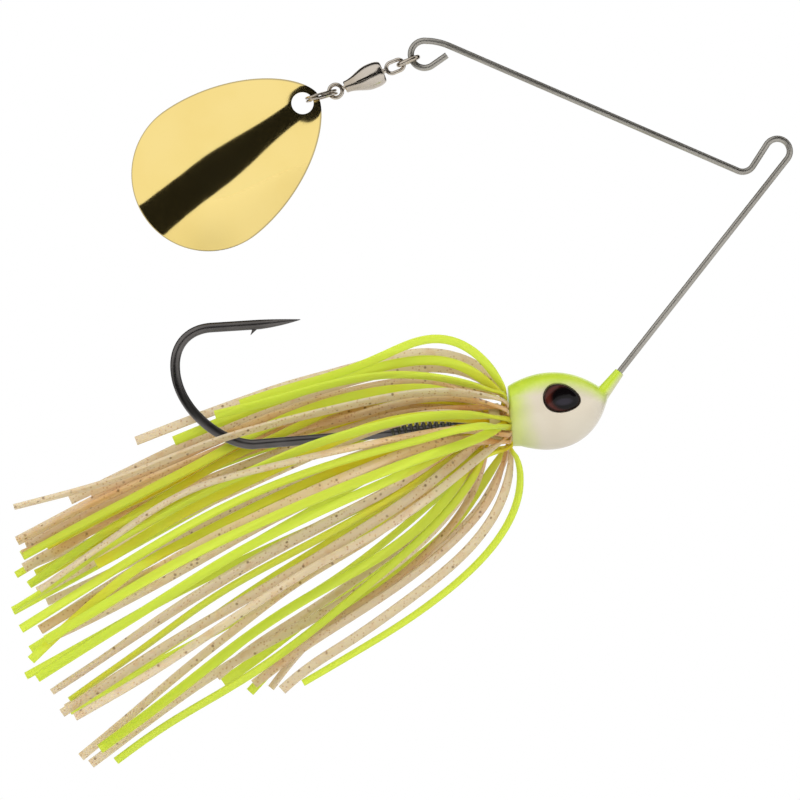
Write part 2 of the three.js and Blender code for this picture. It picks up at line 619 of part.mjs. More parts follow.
// The course of each strand, tab by tab in the order of SLOTS: how far its tip lies towards -Y, in units of
// NEAR_UNIT, and the places that it passes from the band to its tip. The places are columns and rows of a
// square grid in the lure's plane, counted from the upper left, and TIE_COLUMN and TIE_ROW are the line tie's.
// A place is where the strand is seen from VIEW_DISTANCE, so a near strand lies a little inside it.
const GRID = 0.14;
const NEAR_UNIT = 1;
const TIE_COLUMN = 777.3;
const TIE_ROW = 151.3;
const VIEW_CENTRE = [-52.82, -34.82];
const VIEW_DISTANCE = 900;
const COURSES = [
  [  // chartreuse 1, at the top
    [-3.0, [430, 394, 350, 408, 250, 446, 180, 487, 100, 535, 29, 585]],
    [-1.5, [430, 386, 350, 396, 280, 420, 180, 474, 90, 520, 24, 556]],
    [-4.5, [430, 390, 350, 401, 270, 430, 180, 480, 110, 515, 48, 547]],
    [-2.2, [490, 386, 466, 364, 424, 358, 374, 367, 330, 380, 289, 393, 230, 418, 174, 441]],
    [2.0, [506, 385, 492, 369, 464, 342, 424, 337, 384, 356, 330, 377, 289, 388, 240, 404]],
    [5.0, [504, 398, 484, 388, 444, 378, 390, 374, 330, 384, 275, 400, 215, 415]],
  ],
  [  // pearl 1
    [6.0, [445, 412, 410, 422, 370, 437, 320, 455, 250, 480, 180, 512, 120, 545, 60, 577]],
    [-6.0, [440, 396, 380, 403, 310, 420, 240, 444, 180, 470, 100, 510, 26, 546]],
    [9.0, [440, 414, 400, 427, 360, 441, 300, 463, 230, 492, 160, 525, 38, 592]],
    [-5.5, [500, 410, 484, 407, 450, 404, 397, 413, 350, 428, 300, 444, 255, 460, 180, 490, 22, 553]],
    [6.5, [503, 401, 484, 393, 430, 390, 364, 402, 300, 417, 235, 434, 180, 453, 130, 476, 84, 489, 14, 507]],
    [-3.5, [503, 405, 484, 400, 457, 394, 397, 401, 330, 417, 235, 441, 180, 463, 100, 500, 17, 541]],
  ],
  [  // chartreuse 2, on the near side
    [13.0, [440, 432, 397, 448, 340, 470, 260, 505, 180, 548, 100, 595, 31, 660]],
    [12.0, [440, 424, 390, 437, 340, 452, 260, 482, 200, 505, 95, 562]],
    [14.0, [440, 456, 384, 483, 330, 506, 280, 530, 230, 556, 162, 600, 100, 638, 37, 678]],
    [14.0, [496, 436, 464, 440, 430, 455, 397, 467, 330, 492, 250, 527, 180, 560, 46, 640]],
    [12.0, [492, 418, 477, 415, 450, 414, 424, 417, 397, 423, 370, 431, 343, 439, 330, 443, 280, 462, 230,
      484, 180, 506, 13, 610]],
    [13.5, [500, 428, 470, 428, 440, 432, 397, 446, 357, 456, 330, 464, 260, 490, 180, 530, 21, 629]],
  ],
  [  // pearl 2
    [11.0, [450, 448, 420, 472, 384, 494, 330, 520, 280, 545, 186, 600, 140, 632, 100, 661, 52, 692]],
    [12.5, [440, 440, 397, 462, 350, 485, 280, 515, 180, 572, 100, 615, 47, 640]],
    [10.0, [455, 462, 420, 492, 370, 524, 310, 562, 244, 600, 211, 619, 163, 647, 62, 713]],
    [11.5, [492, 444, 476, 456, 461, 475, 435, 494, 409, 513, 366, 542, 332, 554, 280, 588, 206, 636, 162,
      667, 75, 717]],
    [13.0, [494, 427, 477, 429, 450, 431, 424, 435, 397, 440, 357, 447, 334, 451, 292, 460, 264, 469, 236,
      476, 208, 481, 180, 491, 126, 530, 91, 553, 40, 590]],
    [13.0, [502, 434, 476, 436, 437, 441, 397, 455, 364, 469, 330, 482, 270, 510, 180, 552, 40, 630]],
  ],
  [  // chartreuse 3
    [5.0, [470, 467, 459, 485, 435, 515, 400, 545, 366, 566, 320, 590, 250, 634, 163, 703, 100, 749]],
    [9.0, [455, 455, 424, 480, 384, 505, 332, 533, 280, 559, 207, 600, 163, 634, 70, 700]],
    [3.0, [480, 470, 462, 494, 435, 527, 400, 558, 366, 586, 320, 625, 250, 676, 163, 726, 116, 761]],
    [8.0, [492, 436, 464, 453, 424, 477, 397, 491, 330, 521, 280, 543, 230, 566, 135, 615, 37, 677]],
    [8.5, [500, 440, 484, 448, 450, 471, 410, 494, 366, 518, 320, 548, 260, 585, 180, 640, 90, 695]],
    [3.5, [512, 440, 522, 462, 523, 487, 514, 516, 493, 548, 461, 580, 429, 605, 393, 630, 357, 651, 321,
      673, 303, 683]],
  ],
  [  // pearl 3, at the bottom
    [-2.0, [470, 478, 452, 502, 426, 525, 400, 547, 366, 573, 320, 604, 288, 625, 250, 648, 217, 677]],
    [1.5, [476, 474, 455, 508, 420, 545, 380, 577, 330, 610, 250, 652, 192, 688, 144, 724, 91, 764]],
    [-3.5, [480, 480, 462, 512, 430, 552, 390, 585, 350, 611, 306, 643, 271, 688]],
    [-2.5, [506, 452, 498, 486, 480, 514, 452, 543, 420, 569, 375, 601, 340, 623, 306, 645, 254, 684]],
    [1.0, [512, 446, 510, 480, 500, 508, 478, 540, 452, 566, 400, 606, 349, 642, 300, 672, 282, 690]],
    [-4.5, [508, 448, 500, 470, 494, 490, 470, 521, 444, 543, 409, 571, 375, 595, 340, 618, 306, 637, 262,
      680]],
  ],
  [  // chartreuse 4, on the far side
    [-9.0, [460, 480, 435, 516, 400, 550, 350, 586, 300, 625, 250, 664, 223, 682]],
    [-11.0, [440, 440, 390, 465, 330, 500, 250, 545, 162, 600, 26, 676]],
    [-12.0, [440, 432, 390, 452, 330, 478, 250, 518, 180, 556, 31, 650]],
    [-8.5, [494, 444, 472, 462, 450, 488, 421, 511, 392, 537, 366, 557, 332, 583, 288, 608, 250, 634, 211,
      668, 104, 746]],
    [-6.5, [506, 446, 496, 464, 475, 495, 452, 530, 426, 551, 400, 571, 350, 603, 300, 640, 250, 692]],
    [-10.5, [498, 440, 480, 452, 455, 474, 410, 505, 350, 545, 300, 580, 240, 620, 160, 660, 70, 712]],
  ],
  [  // pearl 4
    [-14.0, [440, 430, 390, 446, 330, 466, 250, 500, 180, 540, 47, 602]],
    [-10.0, [450, 466, 410, 510, 366, 542, 332, 560, 280, 592, 236, 629, 179, 673, 139, 709, 81, 757]],
    [-12.5, [440, 415, 390, 428, 330, 447, 260, 470, 180, 505, 24, 568]],
    [-12.0, [494, 440, 470, 452, 440, 477, 400, 507, 350, 538, 297, 568, 211, 619, 163, 647, 66, 708]],
    [-12.0, [494, 434, 470, 444, 445, 460, 420, 475, 384, 495, 330, 524, 280, 549, 186, 604, 58, 688]],
    [-14.0, [498, 424, 470, 425, 440, 430, 400, 445, 340, 468, 280, 492, 196, 532, 126, 574, 41, 630]],
  ],
  [  // chartreuse 5
    [-9.0, [440, 404, 380, 418, 310, 440, 240, 468, 160, 512, 36, 574]],
    [-11.0, [440, 412, 380, 430, 310, 455, 240, 485, 160, 530, 13, 611]],
    [-7.5, [440, 398, 380, 403, 310, 420, 240, 450, 160, 496, 60, 545]],
    [-10.0, [498, 413, 470, 410, 430, 411, 380, 421, 330, 437, 260, 462, 180, 499, 100, 542, 30, 584]],
    [-10.5, [500, 407, 470, 402, 437, 400, 397, 408, 364, 418, 330, 427, 270, 447, 180, 481, 100, 525, 16,
      575]],
    [-8.0, [502, 396, 464, 386, 430, 382, 397, 386, 364, 392, 330, 403, 270, 424, 200, 462, 100, 513, 22,
      556]],
  ],
  [  // pearl 5
    [-6.0, [430, 402, 350, 412, 250, 447, 180, 473, 100, 522, 24, 568]],
    [-7.0, [430, 396, 340, 410, 240, 446, 150, 492, 60, 540]],
    [-3.5, [430, 388, 330, 399, 250, 426, 180, 459, 90, 492]],
    [-5.0, [496, 396, 475, 385, 430, 378, 380, 385, 330, 395, 260, 420, 180, 455, 100, 497, 17, 541]],
    [-5.0, [504, 390, 490, 376, 466, 367, 437, 366, 384, 371, 330, 389, 289, 401, 240, 420, 180, 448, 70,
      500]],
    [-2.0, [510, 390, 503, 382, 490, 370, 450, 351, 410, 352, 374, 363, 300, 384, 230, 405, 136, 441]],
  ],
];
const ROOT_DEPTH = 0.4; // how deep a strand's root runs into its tab
const FOLD_FORWARD = 0.8; // how far the outermost front strands run ahead of the tab, per unit of spread
const FOLD_TILT = 0.15; // how much less they do at the top, and more at the bottom, as the head's rear leans
const FOLD_LIFT = 0.82;
const FOLD_SPREAD = 1.25;
const SIDE_EASE = 12; // length over which a strand takes up its distance from the lure's plane
const TWIST_JITTER = 30;
const WIDTH_JITTER = 0.14; // most that a strand is broader or narrower than most, as a share
const STRAND_SPACE = 0.15; // space that strands keep, as a share of their sizes
const SETTLE_ROUNDS = 300;
const PLANE_SHARE = 0.2; // how much of a parting move keeps its way. The rest is turned towards Y
const MOST_PARTING = 0.4;
const OWN_MOVE = 0.5; // how much of a move a point makes, and how much of each neighbour's
const NEIGHBOUR_MOVE = 0.25;
const SHANK_FREE = 0.8; // shank behind the neck that the strands may lie against
const SLICE_STEPS = 4;

function tabAzimuth(index) {
  return (360 / TAB_COUNT) * (index + 0.5);
}

// A steady number from -1 to 1 for each strand and use.
function jitter(strand, use) {
  const wave = Math.sin(strand * 12.9898 + use * 78.233) * 43758.5453;
  return 2 * (wave - Math.floor(wave)) - 1;
}

// Outward from the shank at an azimuth: 0 is up and 90 is towards -Y.
function outward(azimuth) {
  return upward.clone().multiplyScalar(Math.cos(radians(azimuth)))
    .addScaledVector(nearSide, Math.sin(radians(azimuth)));
}

// A place of the grid, for a point that lies a distance towards -Y.
function onGrid(column, row, near) {
  const centre = new THREE.Vector3(VIEW_CENTRE[0], 0, VIEW_CENTRE[1]);
  const flat = new THREE.Vector3((column - TIE_COLUMN) * GRID, 0, (TIE_ROW - row) * GRID);
  return flat.sub(centre).multiplyScalar(1 - near / VIEW_DISTANCE).add(centre).setY(-near);
}

// The middle line of one strand, from its tab to its tip, before the strands settle.
function strandPoints(slot, azimuth, near, places) {
  const out = outward(azimuth);
  const rootRadius = tabInner + TAB_THICKNESS * slot.root;
  const rootAlong = slot.front ? TAB_START : TAB_START + TAB_LENGTH;
  const inside = slot.front ? ROOT_DEPTH : -ROOT_DEPTH;
  const place = (along, radius) => onHook(along, 0).addScaledVector(out, radius);
  const points = [place(rootAlong + inside, rootRadius), place(rootAlong, rootRadius)];
  if (slot.front) {
    const spread = FOLD_SPREAD - slot.root;
    const ahead = rootAlong - (FOLD_FORWARD - FOLD_TILT * Math.cos(radians(azimuth))) * spread;
    const high = bandOuter + FOLD_LIFT * spread;
    const fold = new THREE.QuadraticBezierCurve3(
      points[1], place(ahead, rootRadius), place(ahead, high));
    points.push(fold.getPoint(0.5), fold.getPoint(1));
  }
  const start = points[points.length - 1];
  const run = [start];
  for (let k = 0; k < places.length; k += 2) {
    const along = onGrid(places[k], places[k + 1], 0).sub(hookEye).dot(rearward);
    const eased = 1 - Math.exp(-Math.max(along - TAB_START, 0) / SIDE_EASE);
    run.push(onGrid(places[k], places[k + 1], near * NEAR_UNIT * eased - start.y * (1 - eased)));
  }
  const course = new THREE.CatmullRomCurve3(run, false, "catmullrom");
  let line = Array.from({ length: STRAND_STEPS + 1 }, (_, k) =>
    course.getPointAt((k / STRAND_STEPS) ** STRAND_EASE));
  for (let pass = 0; pass < 2; pass += 1) line = line.map((point, k) => smoothed(line, k));
  return [...points, ...line.slice(1)];
}

// A point drawn half way to the middle of its neighbours.
function smoothed(line, k) {
  if (k === 0 || k === line.length - 1) return line[k];
  return line[k - 1].clone().add(line[k + 1]).multiplyScalar(0.25).addScaledVector(line[k], 0.5);
}

// A strand's size at each point, as a share of its full size.
function strandSizes(points) {
  let gone = 0;
  return points.map((point, k) => {
    if (k > 0) gone += point.distanceTo(points[k - 1]);
    return STRAND_ROOT_SHARE + (1 - STRAND_ROOT_SHARE) * Math.min(gone / STRAND_ROOT_STRETCH, 1);
  });
}

function allStrands() {
  const strands = [];
  const diagonal = Math.hypot(STRAND_WIDTH, STRAND_THICKNESS) / 2;
  for (let tab = 0; tab < TAB_COUNT; tab += 1) {
    SLOTS.forEach((slot, k) => {
      const [near, places] = COURSES[tab][k];
      const azimuth = tabAzimuth(tab) + slot.turn;
      const points = strandPoints(slot, azimuth, near, places);
      const radii = strandSizes(points).map((size) => size * diagonal);
      strands.push({
        tab, number: strands.length + 1, azimuth, points, radii, held: points.length - STRAND_STEPS });
    });
  }
  return strands;
}

// Where two segments come nearest: the share along each, and the gap from the second to the first.
function nearest(a, b, c, d) {
  const u = b.clone().sub(a);
  const v = d.clone().sub(c);
  const w = a.clone().sub(c);
  const within = (share) => Math.min(Math.max(share, 0), 1);
  const area = u.lengthSq() * v.lengthSq() - u.dot(v) ** 2;
  let s = area > 1e-9 ? within((u.dot(v) * v.dot(w) - v.lengthSq() * u.dot(w)) / area) : 0.5;
  const t = within((u.dot(v) * s + v.dot(w)) / v.lengthSq());
  s = within((u.dot(v) * t - u.dot(w)) / u.lengthSq());
  return { s, t, gap: w.addScaledVector(u, s).addScaledVector(v, -t) };
}

// Moves strands apart wherever two come too near each other or the hook, a little at a time.
function settle(strands) {
  const lines = [...strands, ...hookLines()];
  for (const line of lines) {
    line.spans = line.points.slice(1).map((point, k) => point.distanceTo(line.points[k]) / 2);
  }
  let close = 0;
  for (let round = 0; round < SETTLE_ROUNDS; round += 1) {
    close = 0;
    for (const line of lines) {
      line.moves = line.points.map(() => new THREE.Vector3());
      line.middles = line.spans.map((_, k) =>
        line.points[k].clone().add(line.points[k + 1]).multiplyScalar(0.5));
    }
    strands.forEach((one, i) => {
      for (const two of lines.slice(i + 1)) close += part(one, two);
    });
    if (close === 0) break;
    for (const { points, moves, held } of strands) {
      for (let k = held; k < points.length; k += 1) {
        const after = moves[Math.min(k + 1, moves.length - 1)];
        points[k].addScaledVector(moves[k], OWN_MOVE).addScaledVector(moves[k - 1], NEIGHBOUR_MOVE);
        points[k].addScaledVector(after, NEIGHBOUR_MOVE);
      }
    }
  }
  console.log("skirt: " + strands.length + " strands, " + close + " places still too near another");
  return strands;
}

// Adds to two lines the moves that would part them, and returns the number of places.
function part(one, two) {
  let close = 0;
  for (let k = one.held - 1; k < one.spans.length; k += 1) {
    for (let m = two.held - 1; m < two.spans.length; m += 1) {
      if (one.tab === two.tab && Math.min(k - one.held, m - two.held) < 1) continue;
      const most = one.radii[k + 1] + two.radii[m + 1] + one.spans[k] + two.spans[m] + STRAND_SPACE;
      if (one.middles[k].distanceToSquared(two.middles[m]) > most * most) continue;
      const { s, t, gap } = nearest(one.points[k], one.points[k + 1], two.points[m], two.points[m + 1]);
      const need = (mix(one.radii, k, s) + mix(two.radii, m, t)) * (1 + STRAND_SPACE);
      if (gap.length() >= need) continue;
      close += 1;
      turnToSide(gap, need);
      if (!two.fixed) gap.multiplyScalar(0.5);
      one.moves[k].addScaledVector(gap, 1 - s);
      one.moves[k + 1].addScaledVector(gap, s);
      two.moves[m].addScaledVector(gap, t - 1);
      two.moves[m + 1].addScaledVector(gap, -t);
    }
  }
  return close;
}

// Turns a gap into the move that parts two strands, mostly along Y, so that the fan keeps its layout.
function turnToSide(gap, need) {
  const level = Math.min(Math.hypot(gap.x, gap.z), need);
  const aside = Math.min(Math.sqrt(need * need - level * level) - Math.abs(gap.y), MOST_PARTING);
  const sense = gap.y < 0 ? -1 : 1;
  gap.setLength((need - gap.length()) * PLANE_SHARE);
  gap.y += sense * Math.max(aside, 0) * (1 - PLANE_SHARE);
}

function mix(values, k, share) {
  return values[k] + (values[k + 1] - values[k]) * share;
}

// The hook as lines that the strands keep off: the shank with its keeper, and the bend.
function hookLines() {
  const { stations } = hookStations();
  const keeperEnd = KEEPER_START + KEEPER_PITCH * KEEPER_TURNS;
  const keeperOuter = hookRadius + KEEPER_CLEARANCE + KEEPER_WIRE;
  const keeper = [onHook(NECK_END + SHANK_FREE, 0), onHook(keeperEnd, 0)];
  const bend = [onHook(keeperEnd, 0), ...stations.slice(2).map((station) => station.point)];
  return [
    { fixed: true, held: 1, points: keeper, radii: keeper.map(() => keeperOuter) },
    { fixed: true, held: 1, points: bend, radii: bend.map(() => hookRadius) },
  ];
}

// One strand as a flat ribbon that swells from its root and turns a little on its way.
function strand({ points, azimuth, number }) {
  const sizes = strandSizes(points);
  const out = outward(azimuth);
  let across = null;
  const rings = points.map((point, k) => {
    const before = points[Math.max(k - 1, 0)];
    const after = points[Math.min(k + 1, points.length - 1)];
    const way = after.clone().sub(before).normalize();
    if (!across) across = way.clone().cross(out).normalize();
    across.addScaledVector(way, -across.dot(way)).normalize();
    const over = way.clone().cross(across);
    const turn = radians(TWIST_JITTER * jitter(number, 4)) * Math.max(sizes[k] * 2 - 1, 0);
    const w = (sizes[k] * STRAND_WIDTH * (1 + sizes[k] * WIDTH_JITTER * jitter(number, 7))) / 2;
    const t = (sizes[k] * STRAND_THICKNESS) / 2;
    return [[-w, -t], [w, -t], [w, t], [-w, t]].map(([a, b]) => point.clone()
      .addScaledVector(across, a * Math.cos(turn) - b * Math.sin(turn))
      .addScaledVector(over, a * Math.sin(turn) + b * Math.cos(turn)));
  });
  return solidFrom(loft(rings));
}

// The slice of a tab that lies under the band: a sector of a ring round the neck.
function tabSlice(azimuth) {
  const middle = (tabInner + tabOuter) / 2;
  const half = 180 / TAB_COUNT - ((TAB_GAP / 2 / middle) * 180) / Math.PI;
  const angles = Array.from({ length: SLICE_STEPS + 1 }, (_, k) =>
    azimuth - half + (2 * half * k) / SLICE_STEPS);
  const inside = angles.map((angle) => [angle, tabInner]);
  const outside = angles.map((angle) => [angle, tabOuter]).reverse();
  const section = [...inside, ...outside];
  const ring = (along) => section.map(([angle, radius]) =>
    onHook(along, 0).addScaledVector(outward(angle), radius));
  return solidFrom(loft([ring(TAB_START), ring(TAB_START + TAB_LENGTH)]));
}

function skirtTab(index, strands) {
  let body = tabSlice(tabAzimuth(index));
  for (const one of strands) {
    if (one.tab === index) body = body.add(strand(one));
  }
  const pale = index % 2 === 1;
  const name = (pale ? "skirt_tab_pearl_" : "skirt_tab_chartreuse_") + (Math.floor(index / 2) + 1);
  return meshOf(name, geometryFrom(body), pale ? PEARL : CHARTREUSE);
}

function skirtBand() {
  const middle = TAB_START + TAB_LENGTH / 2;
  const start = middle - BAND_WIDTH / 2;
  const edge = BAND_THICKNESS / 4;
  const profile = [
    [start, bandInner], [start, bandOuter - edge], [start + edge, bandOuter],
    [start + BAND_WIDTH - edge, bandOuter], [start + BAND_WIDTH, bandOuter - edge],
    [start + BAND_WIDTH, bandInner], [start, bandInner],
  ];
  const geometry = latheAlongX(profile, RING_SEGMENTS);
  geometry.rotateY(radians(-shankAngle)).translate(hookEye.x, hookEye.y, hookEye.z);
  return meshOf("skirt_band", geometry, SILICONE_BAND);
}

// Swivel, rings and blade, each in a frame whose +X runs down the chain

const ringWireRadius = UPPER_RING_WIRE / 2;
const ringMiddleRadius = (UPPER_RING_DIAMETER - UPPER_RING_WIRE) / 2;
const ringOffset = ringMiddleRadius - wireRadius - ringWireRadius - METAL_CLEARANCE;
const ringReach = ringOffset + ringMiddleRadius; // from the frame's wire to the ring's far wire
const eyeWireRadius = EYE_WIRE / 2;

// A closed loop of wire with round ends in the XZ plane: the middle line's half width and its two ends.
function eyeLoop(halfWidth, from, to, wire) {
  const start = new THREE.Vector3(from + halfWidth, 0, -halfWidth);
  const straight = to - from - 2 * halfWidth;
  const side = straight > 1e-6 ? [{ straight }] : [];
  const end = { turn: 180, radius: halfWidth };
  const table = [...side, end, ...side, end];
  const { stations } = bentPath(start, 0, table);
  stations.pop();
  return solidFrom(tube(stations, wire, RING_WIRE_SIDES, true));
}

function upperRing() {
  const ring = new THREE.TorusGeometry(
    ringMiddleRadius, ringWireRadius, RING_WIRE_SIDES, RING_SEGMENTS);
  const mesh = meshOf("upper_ring", ring, NICKEL);
  mesh.position.x = ringOffset;
  return mesh;
}

// Measured from the upper ring's far wire
const upperEyeHalf = UPPER_EYE_INSIDE / 2 + eyeWireRadius;
const upperEyeTip = -(ringWireRadius + METAL_CLEARANCE + eyeWireRadius);
const upperEyeEnd = UPPER_EYE_REACH + eyeWireRadius;
const barrelStart = upperEyeEnd + eyeWireRadius + BARREL_GAP;
const barrelEnd = barrelStart + BARREL_LENGTH;
const washerStart = barrelStart + BARREL_WALL + RACE_CLEARANCE;
const ballMiddle = washerStart + WASHER_THICKNESS + RACE_CLEARANCE + BALL_DIAMETER / 2;
const spindleHeadStart = ballMiddle + BALL_DIAMETER / 2 + RACE_CLEARANCE;
const tailEyeHalf = TAIL_EYE_INSIDE / 2 + eyeWireRadius;
const tailEyeStart = barrelEnd + TAIL_EYE_START + eyeWireRadius;
const tailEyeFar = tailEyeStart + 2 * tailEyeHalf; // a round eye

function swivelSpindle() {
  const shaft = turned([
    [upperEyeEnd - eyeWireRadius / 2, SPINDLE_DIAMETER / 2],
    [spindleHeadStart, SPINDLE_DIAMETER / 2],
    [spindleHeadStart, SPINDLE_HEAD_DIAMETER / 2],
    [spindleHeadStart + SPINDLE_HEAD_THICKNESS, SPINDLE_HEAD_DIAMETER / 2],
  ]);
  const body = eyeLoop(upperEyeHalf, upperEyeTip, upperEyeEnd, eyeWireRadius).add(shaft);
  return meshOf("swivel_spindle", geometryFrom(body), NICKEL);
}

// The barrel's outer radius along its length, as shares of the length.
const BARREL_PROFILE = [[0, 0], [0.07, 0.62], [0.18, 1], [0.42, 1], [0.62, 0.82], [0.85, 0.36], [1, 0]];

function barrelRadius(k, wall) {
  const [, share] = BARREL_PROFILE[k];
  const wide = BARREL_DIAMETER / 2;
  const narrow = (k < 2 ? BARREL_SHOULDER_DIAMETER : BARREL_TAIL_DIAMETER) / 2;
  return narrow + (wide - narrow) * share - wall;
}

function swivelBarrel() {
  const along = (k) => barrelStart + BARREL_LENGTH * BARREL_PROFILE[k][0];
  const outer = BARREL_PROFILE.map((_, k) => [along(k), barrelRadius(k, 0)]);
  const inner = BARREL_PROFILE.slice(1, -1).map((_, k) => [along(k + 1), barrelRadius(k + 1, BARREL_WALL)]);
  inner[0] = [barrelStart + BARREL_WALL, WASHER_DIAMETER / 2 + RACE_CLEARANCE];
  inner.push([barrelEnd - 2 * BARREL_WALL, TAIL_STOP_DIAMETER / 2 + METAL_CLEARANCE]);
  const spindleHole = SPINDLE_DIAMETER / 2 + METAL_CLEARANCE;
  const stemHole = TAIL_STEM_DIAMETER / 2 + METAL_CLEARANCE;
  const middle = (barrelStart + barrelEnd) / 2;
  const bore = turned([[barrelStart - CUT_MARGIN, spindleHole], [middle, spindleHole]]);
  const stemBore = turned([[middle, stemHole], [barrelEnd + CUT_MARGIN, stemHole]]);
  const slot = new THREE.BoxGeometry(BARREL_SLOT_LENGTH, BARREL_DIAMETER, BARREL_SLOT);
  slot.translate(along(1) + BARREL_SLOT_LENGTH / 2, -BARREL_DIAMETER / 2, 0);
  const body = turned(outer).subtract(turned(inner)).subtract(bore).subtract(stemBore)
    .subtract(solidFrom(slot));
  return meshOf("swivel_barrel", geometryFrom(body), NICKEL);
}

function bearingWasher() {
  const hole = SPINDLE_DIAMETER / 2 + METAL_CLEARANCE;
  const outer = WASHER_DIAMETER / 2;
  const end = washerStart + WASHER_THICKNESS;
  const profile = [
    [washerStart, hole], [washerStart, outer], [end, outer], [end, hole], [washerStart, hole],
  ];
  return meshOf("bearing_washer", latheAlongX(profile), NICKEL);
}

function bearingBalls() {
  return Array.from({ length: BALL_COUNT }, (_, k) => {
    const turn = (2 * Math.PI * k) / BALL_COUNT;
    const ball = meshOf("bearing_ball_" + (k + 1), new THREE.IcosahedronGeometry(BALL_DIAMETER / 2, 1),
      BALL_STEEL);
    ball.position.set(ballMiddle, (BALL_CIRCLE / 2) * Math.cos(turn), (BALL_CIRCLE / 2) * Math.sin(turn));
    return ball;
  });
}

function tailEye() {
  const stopStart = barrelEnd - 2 * BARREL_WALL - METAL_CLEARANCE - TAIL_STOP_THICKNESS;
  const stem = turned([
    [stopStart, TAIL_STOP_DIAMETER / 2],
    [stopStart + TAIL_STOP_THICKNESS, TAIL_STOP_DIAMETER / 2],
    [stopStart + TAIL_STOP_THICKNESS, TAIL_STEM_DIAMETER / 2],
    [tailEyeStart + eyeWireRadius / 2, TAIL_STEM_DIAMETER / 2],
  ]);
  const body = eyeLoop(tailEyeHalf, tailEyeStart, tailEyeFar, eyeWireRadius).add(stem);
  return meshOf("tail_eye", geometryFrom(body), NICKEL);
}

const splitMiddleRadius = (SPLIT_RING_DIAMETER - SPLIT_RING_RADIAL) / 2;
const splitHalf = SPLIT_RING_STRIP + SPLIT_RING_GAP / 2; // half the thickness of its two turns
// How far inside the round end of an eye a strip of that thickness comes to rest
const eyeEndDepth = tailEyeHalf - Math.sqrt((TAIL_EYE_INSIDE / 2) ** 2 - splitHalf ** 2);
const splitRest = eyeEndDepth + SPLIT_RING_PLAY + SPLIT_RING_RADIAL / 2;
const splitReach = 2 * splitMiddleRadius - splitRest;
const splitPitch = SPLIT_RING_STRIP + SPLIT_RING_GAP;

// A flat strip wound twice round, with a step from the first turn to the second.
function splitRing() {
  const count = Math.ceil(SPLIT_END / SPLIT_RING_STEP);
  const rings = Array.from({ length: count + 1 }, (_, k) => {
    const turn = (SPLIT_END * k) / count;
    const climbed = THREE.MathUtils.smoothstep(turn, SPLIT_STEP_START, SPLIT_STEP_END) - 0.5;
    const place = radians(turn + 90);
    const out = new THREE.Vector3(Math.cos(place), Math.sin(place), 0);
    const r = SPLIT_RING_RADIAL / 2;
    const h = SPLIT_RING_STRIP / 2;
    return [[-r, -h], [-r, h], [r, h], [r, -h]].map(([a, b]) =>
      out.clone().multiplyScalar(splitMiddleRadius + a).setZ(climbed * splitPitch + b));
  });
  const mesh = meshOf("split_ring", loft(rings), NICKEL);
  mesh.position.x = splitMiddleRadius - splitRest;
  return mesh;
}

// Blade

const bladeRadius = BLADE_WIDTH / 2;
const holeFromMiddle = BLADE_TIP_LENGTH - BLADE_HOLE_FROM_TIP;

// The blade's outline about its widest place: x runs to the narrow tip, z is across.
function bladeOutline(turn) {
  const lengthwise = Math.cos(turn);
  const side = Math.sign(Math.sin(turn));
  if (lengthwise < 0) return [bladeRadius * lengthwise, bladeRadius * Math.sin(turn)];
  const narrowing = Math.pow(1 - Math.pow(lengthwise, BLADE_TIP_POWER), BLADE_SIDE_POWER);
  return [BLADE_TIP_LENGTH * lengthwise, side * bladeRadius * narrowing];
}

// Height of the cup's middle surface above its rim plane, at a share of the way out to the rim.
function cupHeight(share) {
  return BLADE_CUP * (1 - Math.pow(share, BLADE_CUP_POWER));
}

function blade() {
  const seat = cupHeight(holeFromMiddle / BLADE_TIP_LENGTH);
  const surface = (share, lift) => Array.from({ length: BLADE_SIDES }, (_, k) => {
    const [x, z] = bladeOutline((2 * Math.PI * k) / BLADE_SIDES);
    return new THREE.Vector3(x * share, seat - cupHeight(share) + lift, z * share);
  });
  const half = BLADE_THICKNESS / 2;
  const centre = (lift) => [new THREE.Vector3(0, seat - cupHeight(0) + lift, 0)];
  const back = BLADE_RINGS.map((share) => surface(share, half));
  const front = BLADE_RINGS.map((share) => surface(share, -half)).reverse();
  const shell = solidFrom(loft([centre(half), ...back, ...front, centre(-half)]));
  const hole = new THREE.CylinderGeometry(
    BLADE_HOLE_DIAMETER / 2, BLADE_HOLE_DIAMETER / 2, BLADE_CUP * 2, RING_SEGMENTS);
  hole.translate(holeFromMiddle, 0, 0);
  const body = shell.subtract(solidFrom(hole));
  const mesh = meshOf("blade", geometryFrom(body), GOLD);
  const hang = BLADE_HOLE_DIAMETER / 2 - Math.hypot(SPLIT_RING_RADIAL / 2, splitHalf) - BLADE_PLAY;
  mesh.rotation.y = Math.PI; // the tip points back up the chain
  mesh.position.x = hang + holeFromMiddle;
  return mesh;
}

// Turns a group so that its +X runs at an angle in the XZ plane.
function turnTo(group, degrees) {
  group.rotation.y = radians(-degrees);
  return group;
}

// Assembly

const spinnerbait = new THREE.Group();
spinnerbait.add(wireFrame(), hook(), head(), eye("eye_near", -1), eye("eye_far", 1));
spinnerbait.add(keeperCoil(), skirtBand());
const strands = settle(allStrands());
for (let k = 0; k < TAB_COUNT; k += 1) spinnerbait.add(skirtTab(k, strands));

const bladeGroup = turnTo(new THREE.Group(), BLADE_ANGLE - (CHAIN_ANGLE + SPLIT_RING_ANGLE));
bladeGroup.position.x = splitReach;
bladeGroup.add(blade());

const splitGroup = turnTo(new THREE.Group(), SPLIT_RING_ANGLE);
splitGroup.position.x = ringReach + tailEyeFar;
splitGroup.add(splitRing(), bladeGroup);

const swivel = new THREE.Group();
swivel.position.x = ringReach;
swivel.add(swivelSpindle(), swivelBarrel(), bearingWasher(), ...bearingBalls(), tailEye());

